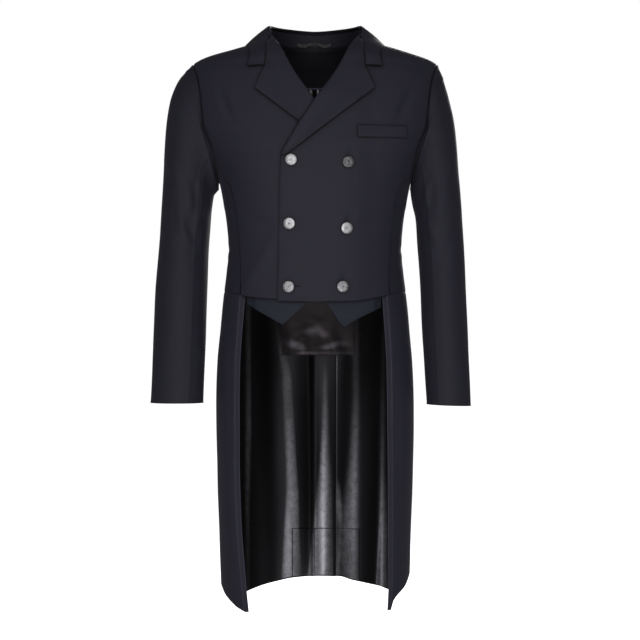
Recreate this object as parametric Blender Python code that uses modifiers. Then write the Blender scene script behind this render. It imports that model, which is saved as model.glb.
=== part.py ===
"""Double-breasted riding show jacket with tails, hollow as it is worn.

Metres, +Z up, and -Y is the wearer's front. +X is the wearer's left.
The origin is at the base of the neck, on the shoulder line.
Each cut piece is one wall of cloth. Pieces stop short of each other at the seams.
"""
import math
from bisect import bisect_right

import bmesh
import bpy
from mathutils import Vector

# Driving sizes
CLOTH = 0.0016
LINING = 0.0010
WELT_CLOTH = 0.0012
RIBBON = 0.0008
GAP = 0.0003
NECK_SEAM = 0.007
SHOULDER_RIDGE = 91.0
CURL_LENGTH = 0.0043
CURL_RADIUS = 0.0034
LAPEL_CURL = 95.0
COLLAR_CURL = 150.0
ROLL_INSET = 0.0022
LAPEL_LIFT = 0.0026
COLLAR_LIFT = 0.0029
COLLAR_BULGE = 0.0020
STAND_BELOW_FOLD = 0.0064
NECK_START = 77.0
NECK_RUN = 13.0
LAPEL_BELLY = 0.0009
LEAF_BULGE = 0.0010
FLAT_EDGE = 0.0005
LINING_GAP = 0.0008
POINT_GAP = 0.0023
POINT_TOP = -0.447
POINT_SAG = 0.0060
POINT_SAG_RUN = 0.075
LINING_LIFT = -(CLOTH + LINING_GAP)
OVERLAP_LIFT = 0.0027
ROLL_LIFT = 0.0034
VENT_DIP = 0.0053
VENT_TOP = -0.487
VENT_EDGE = 0.043
VENT_FOLD = {"x": -0.014, "across": 0.012, "z": -0.470, "down": 0.014, "edge_run": 0.018}
LINING_SPLIT = -0.467
HEM_BAND = 0.011
VENT_HEM = 0.003
BUTTON_RADIUS = 0.0103
BUTTON_THICKNESS = 0.0040
SHANK_RADIUS = 0.0030
SHANK_LENGTH = 0.0012
BUTTON_SEAT = 0.0006
STRIP_TURN = 0.35
ARMHOLE = {"z": -0.150, "y": 0.004, "height": 0.112, "depth": 0.062}
STATION = 15.0
SLEEVE_SEAM_FRONT = 120.0
SLEEVE_SEAM_BACK = 240.0
SLEEVE_RADIUS = 0.055
SLEEVE_TUCK = -0.0012
SLEEVE_ROLL = 0.0024

# Body rings: height, half width, depth in front, depth behind, squareness
BODY_RINGS = (
    (0.042, 0.0865, 0.0560, 0.0865, 2.0),
    (0.024, 0.0870, 0.0600, 0.0860, 2.0),
    (0.010, 0.0890, 0.0640, 0.0855, 2.0),
    (0.004, 0.1000, 0.0670, 0.0870, 2.0),
    (-0.0036, 0.1300, 0.0710, 0.0930, 2.0),
    (-0.010, 0.1545, 0.0745, 0.0980, 2.0),
    (-0.020, 0.1895, 0.0800, 0.1050, 2.0),
    (-0.030, 0.2165, 0.0850, 0.1110, 2.0),
    (-0.038, 0.2290, 0.0880, 0.1150, 2.0),
    (-0.060, 0.2340, 0.0960, 0.1210, 2.1),
    (-0.100, 0.2360, 0.1070, 0.1270, 2.2),
    (-0.150, 0.2300, 0.1170, 0.1300, 2.3),
    (-0.205, 0.2000, 0.1250, 0.1290, 2.4),
    (-0.262, 0.1800, 0.1270, 0.1250, 2.4),
    (-0.300, 0.1722, 0.1240, 0.1180, 2.35),
    (-0.345, 0.1652, 0.1180, 0.1080, 2.3),
    (-0.385, 0.1625, 0.1130, 0.1020, 2.3),
    (-0.430, 0.1665, 0.1100, 0.1040, 2.25),
    (-0.482, 0.1730, 0.1090, 0.1120, 2.25),
    (-0.540, 0.1785, 0.1090, 0.1240, 2.25),
    (-0.600, 0.1842, 0.1080, 0.1340, 2.25),
    (-0.680, 0.1875, 0.1070, 0.1390, 2.25),
    (-0.800, 0.1852, 0.1050, 0.1390, 2.25),
    (-0.900, 0.1817, 0.1030, 0.1360, 2.25),
    (-1.000, 0.1785, 0.1010, 0.1330, 2.25),
    (-1.070, 0.1762, 0.1000, 0.1310, 2.25),
)

# Roll line of the lapel and front edge below it, wearer's left: height, x
ROLL_LINE = (
    (0.034, 0.0862), (0.021, 0.0824), (0.0, 0.0715), (-0.0194, 0.060), (-0.036, 0.052),
    (-0.060, 0.039), (-0.0965, 0.0145), (-0.1166, 0.0), (-0.134, -0.0105), (-0.1537, -0.024),
    (-0.170, -0.034), (-0.193, -0.047), (-0.211, -0.0575), (-0.2275, -0.0635), (-0.270, -0.0655),
    (-0.338, -0.0670), (-0.4855, -0.0705),
)
# Outer edge of the lapel below the collar seam: height, x
LAPEL_EDGE = (
    (-0.2210, -0.0536), (-0.1577, 0.0282), (-0.0965, 0.1074), (-0.0945, 0.1100), (-0.0925, 0.1092),
    (-0.0720, 0.1002), (-0.0515, 0.0915),
)
# Seams on the body: height, angle from the centre front
SIDE_SEAM = (
    (-0.247, 81.6), (-0.2582, 73.0), (-0.270, 66.0), (-0.300, 64.4), (-0.340, 64.8),
    (-0.390, 64.4), (-0.480, 62.3),
)
BACK_SEAM = (
    (-0.247, 101.0), (-0.262, 108.5), (-0.285, 120.0), (-0.320, 131.0), (-0.385, 137.0),
    (-0.482, 142.0), (-0.600, 141.0), (-0.800, 139.0), (-1.060, 137.0),
)
# Lower edge of the short front and the body: angle, height
WAIST_HEM = (
    (0.0, -0.4855), (35.0, -0.4840), (58.0, -0.4750), (75.0, -0.4670), (110.0, -0.4665), (180.0, -0.470),
)
# Tail hem: angle, height on the left, height on the right
TAIL_HEM = (
    (56.0, -1.0600, -1.0600), (60.5, -1.0562, -1.0572), (65.0, -1.0370, -1.0524), (70.0, -1.0271, -1.0438),
    (76.0, -1.0165, -1.0333), (86.0, -0.9985, -1.0180), (105.0, -1.0080, -1.0200), (120.0, -1.0260, -1.0290),
    (129.0, -1.0366, -1.0366), (139.0, -1.0300, -1.0300), (148.0, -1.0248, -1.0248), (159.0, -1.0197, -1.0197),
    (180.0, -1.0216, -1.0216),
)
# Inner end of the turned strip on each tail's front edge: height, x on the left, x on the right, strip width
TAIL_FRONT = (
    (-0.470, 0.1232, 0.1284, 0.0110), (-0.626, 0.1327, 0.1385, 0.0100), (-0.747, 0.1338, 0.1392, 0.0092),
    (-0.868, 0.1350, 0.1365, 0.0083), (-1.060, 0.1365, 0.1216, 0.0065),
)
# Collar leaf, from the notch to the centre back: inner angle, inner height, outer angle, outer height
COLLAR = (
    (47.0, -0.0515, 57.0, -0.0530), (48.6, -0.0370, 58.0, -0.0410), (51.0, -0.0230, 59.5, -0.0290),
    (56.0, -0.0110, 63.5, -0.0190), (62.0, -0.0010, 69.0, -0.0115), (69.0, 0.0060, 75.5, -0.0075),
    (75.0, 0.0125, 81.5, -0.0050), (82.0, 0.0240, 86.5, -0.0040), (90.0, 0.0340, 93.0, -0.0036),
    (101.0, 0.0380, 103.0, -0.0042), (112.0, 0.0395, 114.0, -0.0055), (128.0, 0.0397, 129.0, -0.0080),
    (145.0, 0.0395, 146.0, -0.0105), (162.0, 0.0385, 163.0, -0.0122), (180.0, 0.0375, 180.0, -0.0130),
)
COLLAR_ACROSS = (0.0, 0.25, 0.5, 0.77, 1.0)
# Sleeve rings below the armhole: outer x, outer z, inner x, inner z, centre y, half depth
SLEEVE_LEFT = (
    (0.2390, -0.0620, 0.1815, -0.2720, 0.004, 0.0640),
    (0.2515, -0.1040, 0.1830, -0.2870, 0.003, 0.0660),
    (0.2620, -0.1500, 0.1855, -0.3030, 0.002, 0.0660),
    (0.2690, -0.2360, 0.1910, -0.3300, 0.000, 0.0640),
    (0.2740, -0.3050, 0.1935, -0.3720, -0.003, 0.0610),
    (0.2792, -0.3810, 0.1965, -0.4100, -0.006, 0.0580),
    (0.2825, -0.4600, 0.2000, -0.4680, -0.010, 0.0550),
    (0.2850, -0.5500, 0.2032, -0.5500, -0.018, 0.0490),
    (0.2880, -0.6300, 0.2075, -0.6320, -0.026, 0.0430),
    (0.2898, -0.6790, 0.2100, -0.6760, -0.030, 0.0400),
)
SLEEVE_RIGHT = (
    (0.2408, -0.0500, 0.1835, -0.2720, 0.004, 0.0640),
    (0.2574, -0.0710, 0.1880, -0.2770, 0.004, 0.0660),
    (0.2719, -0.1080, 0.1925, -0.2830, 0.003, 0.0670),
    (0.2782, -0.1500, 0.1950, -0.2980, 0.002, 0.0670),
    (0.2816, -0.2040, 0.1972, -0.3180, 0.000, 0.0650),
    (0.2844, -0.2660, 0.1985, -0.3450, -0.002, 0.0620),
    (0.2898, -0.3490, 0.2010, -0.3880, -0.005, 0.0590),
    (0.2989, -0.4736, 0.2037, -0.4750, -0.011, 0.0550),
    (0.3035, -0.5800, 0.2062, -0.5800, -0.021, 0.0470),
    (0.3076, -0.6755, 0.2076, -0.6755, -0.030, 0.0420),
)
# Largest folds seen from the front: x and z of both ends, depth, half width
FOLDS = (
    (-0.185, -0.169, -0.087, -0.214, -0.0020, 0.013),
    (-0.073, -0.370, -0.121, -0.448, 0.0022, 0.013),
    (0.180, -0.092, 0.150, -0.153, -0.0020, 0.014),
    (-0.223, -0.251, -0.212, -0.303, -0.0030, 0.012),
    (-0.212, -0.303, -0.225, -0.357, -0.0030, 0.012),
    (-0.253, -0.291, -0.229, -0.389, -0.0030, 0.013),
    (0.210, -0.261, 0.212, -0.313, -0.0028, 0.012),
    (0.262, -0.330, 0.232, -0.400, -0.0026, 0.014),
)
# Flutes of the tails behind, deepest at the hem: x, depth, half width
FLUTES = (
    (-0.120, 0.004, 0.026), (-0.055, -0.006, 0.024), (0.013, 0.004, 0.024),
    (0.072, -0.006, 0.024), (0.130, 0.004, 0.026),
)
# Heights of the rows that all body pieces share, between the waist and the armhole's lowest point
BODY_ROWS = (-0.445, -0.415, -0.385, -0.345, -0.310, -0.285)
SHOULDER_ROWS = (-0.030, -0.022, -0.014, -0.008, -0.003, 0.002, NECK_SEAM - GAP / 2)
TAIL_ROWS = (LINING_SPLIT, -0.485, -0.508, -0.545, -0.600, -0.660, -0.730, -0.800, -0.870, -0.930, -0.975)
LAPEL_ROWS = (
    -0.2195, -0.2060, -0.1850, -0.1650, -0.1450, -0.1250, -0.1120, -0.0945, -0.0800, -0.0660, -0.0515,
    -0.0370, -0.0230, -0.0110, -0.0010, 0.0060, 0.0125,
)
RIGHT_LAPEL_START = -0.1625
# Waistcoat points, lower edge: x, z
POINT_RIGHT = (
    (-0.1250, -0.4926), (-0.0937, -0.5100), (-0.0613, -0.5278), (-0.0380, -0.5080), (-0.0151, -0.4879),
)
POINT_LEFT = (
    (0.0222, -0.4879), (0.0341, -0.5053), (0.0460, -0.5227), (0.0561, -0.5318), (0.0771, -0.5190),
    (0.0990, -0.5085), (0.1211, -0.4989),
)
FLAP = {
    "left": -0.0583, "right": 0.0735, "top": -0.452, "bottom": -0.583, "sag": 0.0110, "wave": 0.0020,
}
WELT = {
    "inner": 0.077, "outer": 0.169, "inner_z": -0.1868, "outer_z": -0.1852, "height": 0.0226, "lift": 0.0017,
}
# Buttons: x, z
BUTTONS = (
    ("button_right_top", -0.0427, -0.2283), ("button_right_middle", -0.0461, -0.3429),
    ("button_right_bottom", -0.0476, -0.4581), ("button_left_top", 0.0602, -0.2323),
    ("button_left_middle", 0.0575, -0.3511), ("button_left_bottom", 0.0503, -0.4580),
)
LOOP = {"left": -0.035, "right": 0.031, "low": 0.0100, "high": 0.0155, "wave": 0.0022, "sag": 0.0020}

LEFT = 1
RIGHT = -1


def start_collection(title):
    for old in list(bpy.data.objects):
        bpy.data.objects.remove(old, do_unlink=True)
    collection = bpy.data.collections.new(title)
    bpy.context.scene.collection.children.link(collection)
    return collection


def make_material(name, colour, roughness, metallic=0.0):
    material = bpy.data.materials.new(name)
    material.use_nodes = True
    shader = material.node_tree.nodes["Principled BSDF"]
    shader.inputs["Base Color"].default_value = (*colour, 1.0)
    shader.inputs["Roughness"].default_value = roughness
    shader.inputs["Metallic"].default_value = metallic
    return material


def smooth_through(points):
    """A smooth curve through (position, value) points that never swings past them."""
    places, values = zip(*sorted(points))
    slopes = [
        (values[k + 1] - values[k]) / (places[k + 1] - places[k]) for k in range(len(places) - 1)
    ]
    tangents = [slopes[0]]
    for before, after in zip(slopes, slopes[1:]):
        tangents.append(0.0 if before * after <= 0 else 2 * before * after / (before + after))
    tangents.append(slopes[-1])

    def value(place):
        place = min(max(place, places[0]), places[-1])
        k = min(bisect_right(places, place), len(places) - 1) - 1
        span = places[k + 1] - places[k]
        t = (place - places[k]) / span
        start = values[k] * (1 + 2 * t) * (1 - t) ** 2 + tangents[k] * span * t * (1 - t) ** 2
        end = values[k + 1] * t * t * (3 - 2 * t) + tangents[k + 1] * span * t * t * (t - 1)
        return start + end

    return value


def columns_of(table):
    """One smooth curve for each column of a table, read against its first column."""
    return [
        smooth_through([(row[0], row[column]) for row in table])
        for column in range(len(table[0]))
    ]


def ease(value):
    """0 up to 0, 1 from 1 on, smooth between."""
    value = min(max(value, 0.0), 1.0)
    return value * value * (3 - 2 * value)


_, ring_width, ring_front, ring_back, ring_square = columns_of(BODY_RINGS)
roll_x = smooth_through(ROLL_LINE)
side_seam = smooth_through(SIDE_SEAM)
back_seam = smooth_through(BACK_SEAM)
waist_hem = smooth_through(WAIST_HEM)
_, tail_hem_left, tail_hem_right = columns_of(TAIL_HEM)
_, tail_front_left, tail_front_right, strip_width = columns_of(TAIL_FRONT)
collar_seam = smooth_through([(row[1], row[0]) for row in COLLAR[:9]])


def lapel_edge(z):
    """Straight lines between the points of the lapel's outer edge."""
    for (z0, x0), (z1, x1) in zip(LAPEL_EDGE, LAPEL_EDGE[1:]):
        if z <= z1:
            return x0 + (x1 - x0) * (z - z0) / (z1 - z0)
    return LAPEL_EDGE[-1][1]


def fold_height(x, z):
    """How far the large folds stand out of the cloth, seen from the front."""
    total = 0.0
    for x0, z0, x1, z1, depth, width in FOLDS:
        length = math.hypot(x1 - x0, z1 - z0)
        along = ((x - x0) * (x1 - x0) + (z - z0) * (z1 - z0)) / length ** 2
        away = abs((x - x0) * (z1 - z0) - (z - z0) * (x1 - x0)) / length
        beyond = max(-along, along - 1, 0.0) * length
        total += depth * math.exp(-((away / width) ** 2 + (beyond / width) ** 2))
    return total


def flute_height(x, z):
    grow = ease((-0.50 - z) / 0.35)
    return sum(depth * grow * math.exp(-(((x - middle) / width) ** 2)) for middle, depth, width in FLUTES)


def base_point(side, angle, z):
    """A point of the body's outer surface. The angle runs from the centre front to that side."""
    turn = math.radians(angle)
    square = ring_square(z)
    depth = ring_front(z) if math.cos(turn) > 0 else ring_back(z)
    across = abs(math.sin(turn) / ring_width(z)) ** square
    along = abs(math.cos(turn) / depth) ** square
    radius = (across + along) ** (-1 / square)
    x = side * radius * math.sin(turn)
    if math.cos(turn) > 0.12:
        radius += fold_height(x, z) * ease((math.cos(turn) - 0.12) / 0.3)
    if math.cos(turn) < 0:
        radius += flute_height(x, z) * ease(-math.cos(turn) / 0.5)
    return Vector((side * radius * math.sin(turn), -radius * math.cos(turn), z))


def base_normal(side, angle, z):
    around = base_point(side, angle + 0.5, z) - base_point(side, angle - 0.5, z)
    up = base_point(side, angle, z + 0.0015) - base_point(side, angle, z - 0.0015)
    return (around.cross(up) * side).normalized()


def on_body(side, angle, z, lift=0.0):
    return base_point(side, angle, z) + base_normal(side, angle, z) * lift


def front_angle(x, z):
    """The angle of the point at this x, measured towards its own side, on the front."""
    square = ring_square(z)
    inside = max(1 - abs(x / ring_width(z)) ** square, 0.0)
    return math.degrees(math.atan2(x, ring_front(z) * inside ** (1 / square)))


def back_angle(x, z):
    square = ring_square(z)
    inside = max(1 - abs(x / ring_width(z)) ** square, 0.0)
    return 180.0 - math.degrees(math.atan2(x, ring_back(z) * inside ** (1 / square)))


def shifted(angle, z, distance):
    """The angle moved along the cloth by a short distance."""
    point = base_point(LEFT, angle, z)
    return angle + math.degrees(distance / math.hypot(point.x, point.y))


def armhole_height(station):
    return ARMHOLE["z"] + ARMHOLE["height"] * math.cos(math.radians(station))


def armhole_angle(station):
    """The body angle of the armhole's edge. Stations run from the top, over the front, to the bottom."""
    turn = math.radians(station)
    z = armhole_height(station)
    y = ARMHOLE["y"] - ARMHOLE["depth"] * math.sin(turn)
    square = ring_square(z)
    depth = ring_front(z) if y < 0 else ring_back(z)
    x = ring_width(z) * (1 - abs(y / depth) ** square) ** (1 / square)
    return math.degrees(math.atan2(x, -y))


ARMHOLE_STATIONS = [k * STATION for k in range(10, -1, -1)]
ARMHOLE_ROWS = [armhole_height(station) for station in ARMHOLE_STATIONS]
UNDERARM_ROWS = [-0.270, armhole_height(165.0)]


def left_front_lift(x, z):
    """The left front lies over the right one, and its roll line stands over the right lapel."""
    over = OVERLAP_LIFT * ease((0.110 - x) / 0.035) * ease((-0.06 - z) / 0.06)
    near_roll = ease(1 - (x - roll_x(z)) / 0.030)
    roll = ROLL_LIFT * near_roll * ease((z + 0.235) / 0.03) * ease((-0.075 - z) / 0.04)
    return over + roll


def wall(collection, name, material, columns, rows, outer, inner):
    """A closed wall of cloth between an outer and an inner grid of points."""
    mesh_builder = bmesh.new()
    bmesh.ops.create_grid(mesh_builder, x_segments=columns, y_segments=rows, size=0.5)
    index = {
        vert: (round((vert.co.x + 0.5) * columns), round((vert.co.y + 0.5) * rows))
        for vert in mesh_builder.verts
    }
    made = bmesh.ops.extrude_face_region(mesh_builder, geom=mesh_builder.faces[:])
    copies = [item for item in made["geom"] if isinstance(item, bmesh.types.BMVert)]
    for vert in copies:
        place = (round((vert.co.x + 0.5) * columns), round((vert.co.y + 0.5) * rows))
        vert.co = outer(*place)
    for vert, place in index.items():
        vert.co = inner(*place)
    bmesh.ops.recalc_face_normals(mesh_builder, faces=mesh_builder.faces[:])
    if mesh_builder.calc_volume(signed=True) < 0:
        bmesh.ops.reverse_faces(mesh_builder, faces=mesh_builder.faces[:])
    mesh = bpy.data.meshes.new(name)
    mesh_builder.to_mesh(mesh)
    mesh_builder.free()
    mesh.materials.append(material)
    mesh.shade_smooth()
    mesh.set_sharp_from_angle(angle=math.radians(40))
    piece = bpy.data.objects.new(name, mesh)
    collection.objects.link(piece)
    return piece


def body_panel(collection, name, material, side, columns, rows, place, lift=0.0, thickness=CLOTH):
    """A panel that follows the body. place(i, j) gives the angle and height of a grid point."""
    def point(i, j, depth):
        angle, z = place(i, j)
        x = base_point(side, angle, z).x
        own_lift = lift(x, z) if callable(lift) else lift
        return on_body(side, angle, z, own_lift - depth)

    return wall(
        collection, name, material, columns, rows,
        lambda i, j: point(i, j, 0.0),
        lambda i, j: point(i, j, thickness),
    )


def between(start, end, share):
    return start + (end - start) * share


def front_panel(collection, name, material, side):
    columns = 8
    upper = list(UNDERARM_ROWS) + ARMHOLE_ROWS + list(SHOULDER_ROWS)
    heights = [None] + list(BODY_ROWS) + upper

    def outer_edge(z):
        if z >= ARMHOLE_ROWS[-1] - 1e-6:
            edge = SHOULDER_RIDGE
        elif z >= ARMHOLE_ROWS[0] - 1e-6:
            cosine = (z - ARMHOLE["z"]) / ARMHOLE["height"]
            return armhole_angle(math.degrees(math.acos(min(cosine, 1.0))))
        else:
            edge = side_seam(z)
        return shifted(edge, z, -GAP / 2)

    def inner_edge(z):
        return front_angle(roll_x(z) + ROLL_INSET, z)

    def place(i, j):
        z = heights[j] if heights[j] is not None else BODY_ROWS[0]
        angle = between(inner_edge(z), outer_edge(z), i / columns)
        if heights[j] is None:
            z = waist_hem(abs(angle)) + GAP / 2
            angle = between(inner_edge(z), outer_edge(z), i / columns)
        return angle, z

    lift = left_front_lift if side == LEFT else 0.0
    return body_panel(collection, name, material, side, columns, len(heights) - 1, place, lift)


def side_panel(collection, name, material, side):
    stations = [150.0 + 7.5 * k for k in range(9)]
    low_rows = list(BODY_ROWS)

    def edges(z):
        return shifted(side_seam(z), z, GAP), shifted(back_seam(z), z, -GAP / 2)

    def share(station):
        z = armhole_height(station)
        start, end = edges(z)
        return min(max((armhole_angle(station) - start) / (end - start), 0.0), 1.0)

    shares = [0.0] + [share(station) for station in stations[1:-1]] + [1.0]
    rows = 1 + len(low_rows) + len(UNDERARM_ROWS)

    def place(i, j):
        top = armhole_height(stations[i])
        if j <= len(low_rows):
            z = low_rows[max(j - 1, 0)]
        else:
            step = j - len(low_rows)
            marks = [low_rows[-1], *UNDERARM_ROWS, ARMHOLE_ROWS[0]]
            part = (marks[step] - marks[0]) / (marks[-1] - marks[0])
            z = between(low_rows[-1], top, part)
        angle = between(*edges(z), shares[i])
        if j == 0:
            z = waist_hem(angle) + GAP / 2
            angle = between(*edges(z), shares[i])
        return angle, z

    return body_panel(collection, name, material, side, len(stations) - 1, rows, place)


def vent_dip(side, x, z):
    """The right back passes under the left one below the waist."""
    if side == LEFT:
        return 0.0
    across = ease((x - VENT_FOLD["x"]) / VENT_FOLD["across"])
    down = ease((VENT_FOLD["z"] - z) / VENT_FOLD["down"])
    return -VENT_DIP * across * down


def centre_edge(side, z, inset=0.0):
    """The angle of the centre back edge. The right back has an underlap beside the vent."""
    if side == LEFT:
        return 180.0 - math.degrees((GAP / 2 + inset) / ring_back(z))
    share = ease((VENT_TOP - z) / VENT_FOLD["edge_run"])
    x = between(-GAP / 2, VENT_EDGE, share) - inset
    return 180.0 + math.degrees(math.atan2(x, ring_back(z)))


def back_outer_edge(z):
    """The angle of a back panel's outer edge: shoulder, armhole, then the back seam."""
    if z >= ARMHOLE_ROWS[-1] - 1e-6:
        return shifted(SHOULDER_RIDGE, z, GAP / 2)
    if z >= ARMHOLE_ROWS[0] - 1e-6:
        cosine = (z - ARMHOLE["z"]) / ARMHOLE["height"]
        return armhole_angle(-math.degrees(math.acos(min(cosine, 1.0))))
    return shifted(back_seam(z), z, GAP / 2)


def back_panel(collection, name, material, side):
    columns = 9
    heights = [None] + list(TAIL_ROWS)[::-1] + list(BODY_ROWS) + list(UNDERARM_ROWS)
    heights += ARMHOLE_ROWS + list(SHOULDER_ROWS)

    def place(i, j):
        z = heights[j] if heights[j] is not None else heights[1]
        angle = between(back_outer_edge(z), centre_edge(side, z), i / columns)
        if heights[j] is None:
            z = tail_hem(side, angle)
            angle = between(back_outer_edge(z), centre_edge(side, z), i / columns)
        return angle, z

    def lift(x, z):
        return vent_dip(side, x, z)

    return body_panel(collection, name, material, side, columns, len(heights) - 1, place, lift)


def tail_hem(side, angle):
    angle = min(angle, 180.0)
    return tail_hem_left(angle) if side == LEFT else tail_hem_right(angle)


def tail_fold_x(side, z):
    """Where the skirt's front edge folds inwards."""
    inner_end = tail_front_left(z) if side == LEFT else tail_front_right(z)
    return inner_end + strip_width(z)


def skirt(collection, name, material, side):
    """The front part of a tail, with the narrow strip that turns inwards along its front edge."""
    columns = 9
    heights = [None] + list(TAIL_ROWS)[:0:-1] + [None]

    def angles(z, i):
        fold = front_angle(tail_fold_x(side, z), z)
        return between(fold, shifted(back_seam(z), z, -GAP / 2), max(i - 1, 0) / (columns - 1))

    def row_height(i, j):
        if heights[j] is not None:
            return heights[j]
        if j == 0:
            near = tail_hem(side, angles(heights[1], i))
            return tail_hem(side, angles(near, i))
        return waist_hem(angles(heights[-2], i)) - GAP

    def point(i, j, depth):
        z = row_height(i, j)
        angle = angles(z, i)
        if i > 1:
            return on_body(side, angle, z, -depth)
        fold = base_point(side, angle, z)
        normal = base_normal(side, angle, z)
        strip = Vector((-side, STRIP_TURN, 0.0)).normalized()
        strip_normal = Vector((-side * STRIP_TURN, -1.0, 0.0)).normalized()
        if i == 0:
            return fold + strip * strip_width(z) - strip_normal * depth
        mitre = (normal + strip_normal).normalized()
        return fold - mitre * (depth / max(mitre.dot(normal), 0.5))

    return wall(
        collection, name, material, columns, len(heights) - 1,
        lambda i, j: point(i, j, 0.0),
        lambda i, j: point(i, j, CLOTH),
    )


def tail_lining(collection, name, material, side):
    """The lining of one tail, from its front edge to the vent."""
    skirt_columns = 8
    back_columns = 9
    columns = skirt_columns + back_columns
    heights = [None] + list(TAIL_ROWS)[:0:-1] + [LINING_SPLIT - GAP / 2]

    def column_angle(i, z):
        if i == 0:
            return front_angle(tail_fold_x(side, z) + ROLL_INSET, z)
        if i <= skirt_columns:
            fold = front_angle(tail_fold_x(side, z), z)
            return between(fold, back_seam(z), i / skirt_columns)
        inset = VENT_HEM if i == columns else 0.0
        share = (i - skirt_columns) / back_columns
        return between(back_seam(z), centre_edge(side, z, inset), share)

    def place(i, j):
        z = heights[j] if heights[j] is not None else heights[1]
        angle = column_angle(i, z)
        if heights[j] is None:
            near = tail_hem(side, angle) + HEM_BAND
            angle = column_angle(i, near)
            z = tail_hem(side, angle) + HEM_BAND
        elif j == len(heights) - 1:
            z = min(z, waist_hem(min(angle, 142.0)) - 4 * GAP)
        return angle, z

    def lift(x, z):
        return LINING_LIFT + vent_dip(side, x, z)

    rows = len(heights) - 1
    return body_panel(collection, name, material, side, columns, rows, place, lift, LINING)


def across_back(i, z, columns, margin):
    """The angle of a column of a piece that lies inside both backs and shares their columns."""
    half = columns // 2
    share = (margin + 2 * min(i, columns - i)) / (margin + 2 * half)
    angle = between(back_outer_edge(z), 180.0, share)
    return angle if i <= half else 360.0 - angle


def facing_edge(angle):
    """Lower edge of the half-moon inside the back neck."""
    return -0.0085 - 0.0635 * math.cos(math.radians(min(abs(180.0 - angle) * 1.22, 90.0))) ** 0.8


def neck_facing(collection, name, material):
    columns = 8
    lower_rows = 4
    rows = lower_rows + 2

    def place(i, j):
        angle = across_back(i, SHOULDER_ROWS[0], columns, 1)
        z = between(facing_edge(angle), SHOULDER_ROWS[-3], min(j / lower_rows, 1.0))
        if j > lower_rows:
            z = SHOULDER_ROWS[j - rows - 1]
        return across_back(i, z, columns, 1), z

    return body_panel(collection, name, material, LEFT, columns, rows, place, LINING_LIFT, LINING)


def back_lining(collection, name, material):
    columns = 8
    heights = [LINING_SPLIT + GAP / 2, *BODY_ROWS, *UNDERARM_ROWS, *ARMHOLE_ROWS[:6]]
    upper_rows = 3

    def place(i, j):
        if j < len(heights):
            return across_back(i, heights[j], columns, 1), heights[j]
        angle = across_back(i, SHOULDER_ROWS[0], columns, 1)
        top = facing_edge(angle) - GAP
        z = between(heights[-1], top, (j + 1 - len(heights)) / upper_rows)
        return across_back(i, z, columns, 1), z

    rows = len(heights) + upper_rows - 1
    return body_panel(collection, name, material, LEFT, columns, rows, place, LINING_LIFT, LINING)


def lapel(collection, name, material, side):
    """The turned front edge, curled at the roll line."""
    curl_steps = 3
    across = (0.0, 0.22, 0.45, 0.72, 1.0)
    heights = [z for z in LAPEL_ROWS if side == LEFT or z > RIGHT_LAPEL_START]
    if side == RIGHT:
        heights.insert(0, RIGHT_LAPEL_START)

    def base_lift(x, z):
        return left_front_lift(x, z) if side == LEFT else 0.0

    def inner_x(z):
        if side == LEFT:
            return roll_x(z)
        tucked = -(roll_x(z) + 0.010)
        return max(roll_x(z), tucked)

    def curl_turn(z):
        full = math.radians(LAPEL_CURL)
        return full if side == LEFT else max(full * ease((z + 0.124) / 0.016), 0.02)

    def edge_angle(z):
        if z > LAPEL_EDGE[-1][0]:
            return shifted(collar_seam(z), z, -GAP)
        return front_angle(lapel_edge(z), z)

    def flat(z, share, depth=0.0):
        turn = curl_turn(z)
        start = front_angle(inner_x(z) + CURL_LENGTH / turn * math.sin(turn), z)
        angle = between(start, edge_angle(z), share)
        x = base_point(side, angle, z).x
        belly = LAPEL_BELLY * 4 * share * (1 - share)
        return on_body(side, angle, z, base_lift(x, z) + LAPEL_LIFT + belly - depth)

    def point(i, j, depth):
        z = heights[j]
        if i >= curl_steps:
            return flat(z, across[i - curl_steps], depth)
        start = flat(z, 0.0)
        along = (flat(z, 0.02) - start).normalized()
        normal = (flat(z, 0.0) - flat(z, 0.0, CLOTH)).normalized()
        along = (along - normal * along.dot(normal)).normalized()
        turn = curl_turn(z)
        part = turn * (1 - i / curl_steps)
        radius = CURL_LENGTH / turn
        centre = start - normal * radius
        return centre - along * (radius - depth) * math.sin(part) + normal * (radius - depth) * math.cos(part)

    columns = curl_steps + len(across) - 1
    return wall(
        collection, name, material, columns, len(heights) - 1,
        lambda i, j: point(i, j, 0.0),
        lambda i, j: point(i, j, CLOTH),
    )


def pressed_out(side, point, lift):
    """The point, moved out until it lies at least this far above the body's cloth."""
    for _ in range(3):
        angle = math.degrees(math.atan2(side * point.x, -point.y))
        if angle < 0:
            angle += 360.0
        below = base_point(side, angle, point.z)
        normal = base_normal(side, angle, point.z)
        height = (point - below).dot(normal)
        if height < lift:
            point = point + normal * (lift - height)
    return point


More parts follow.
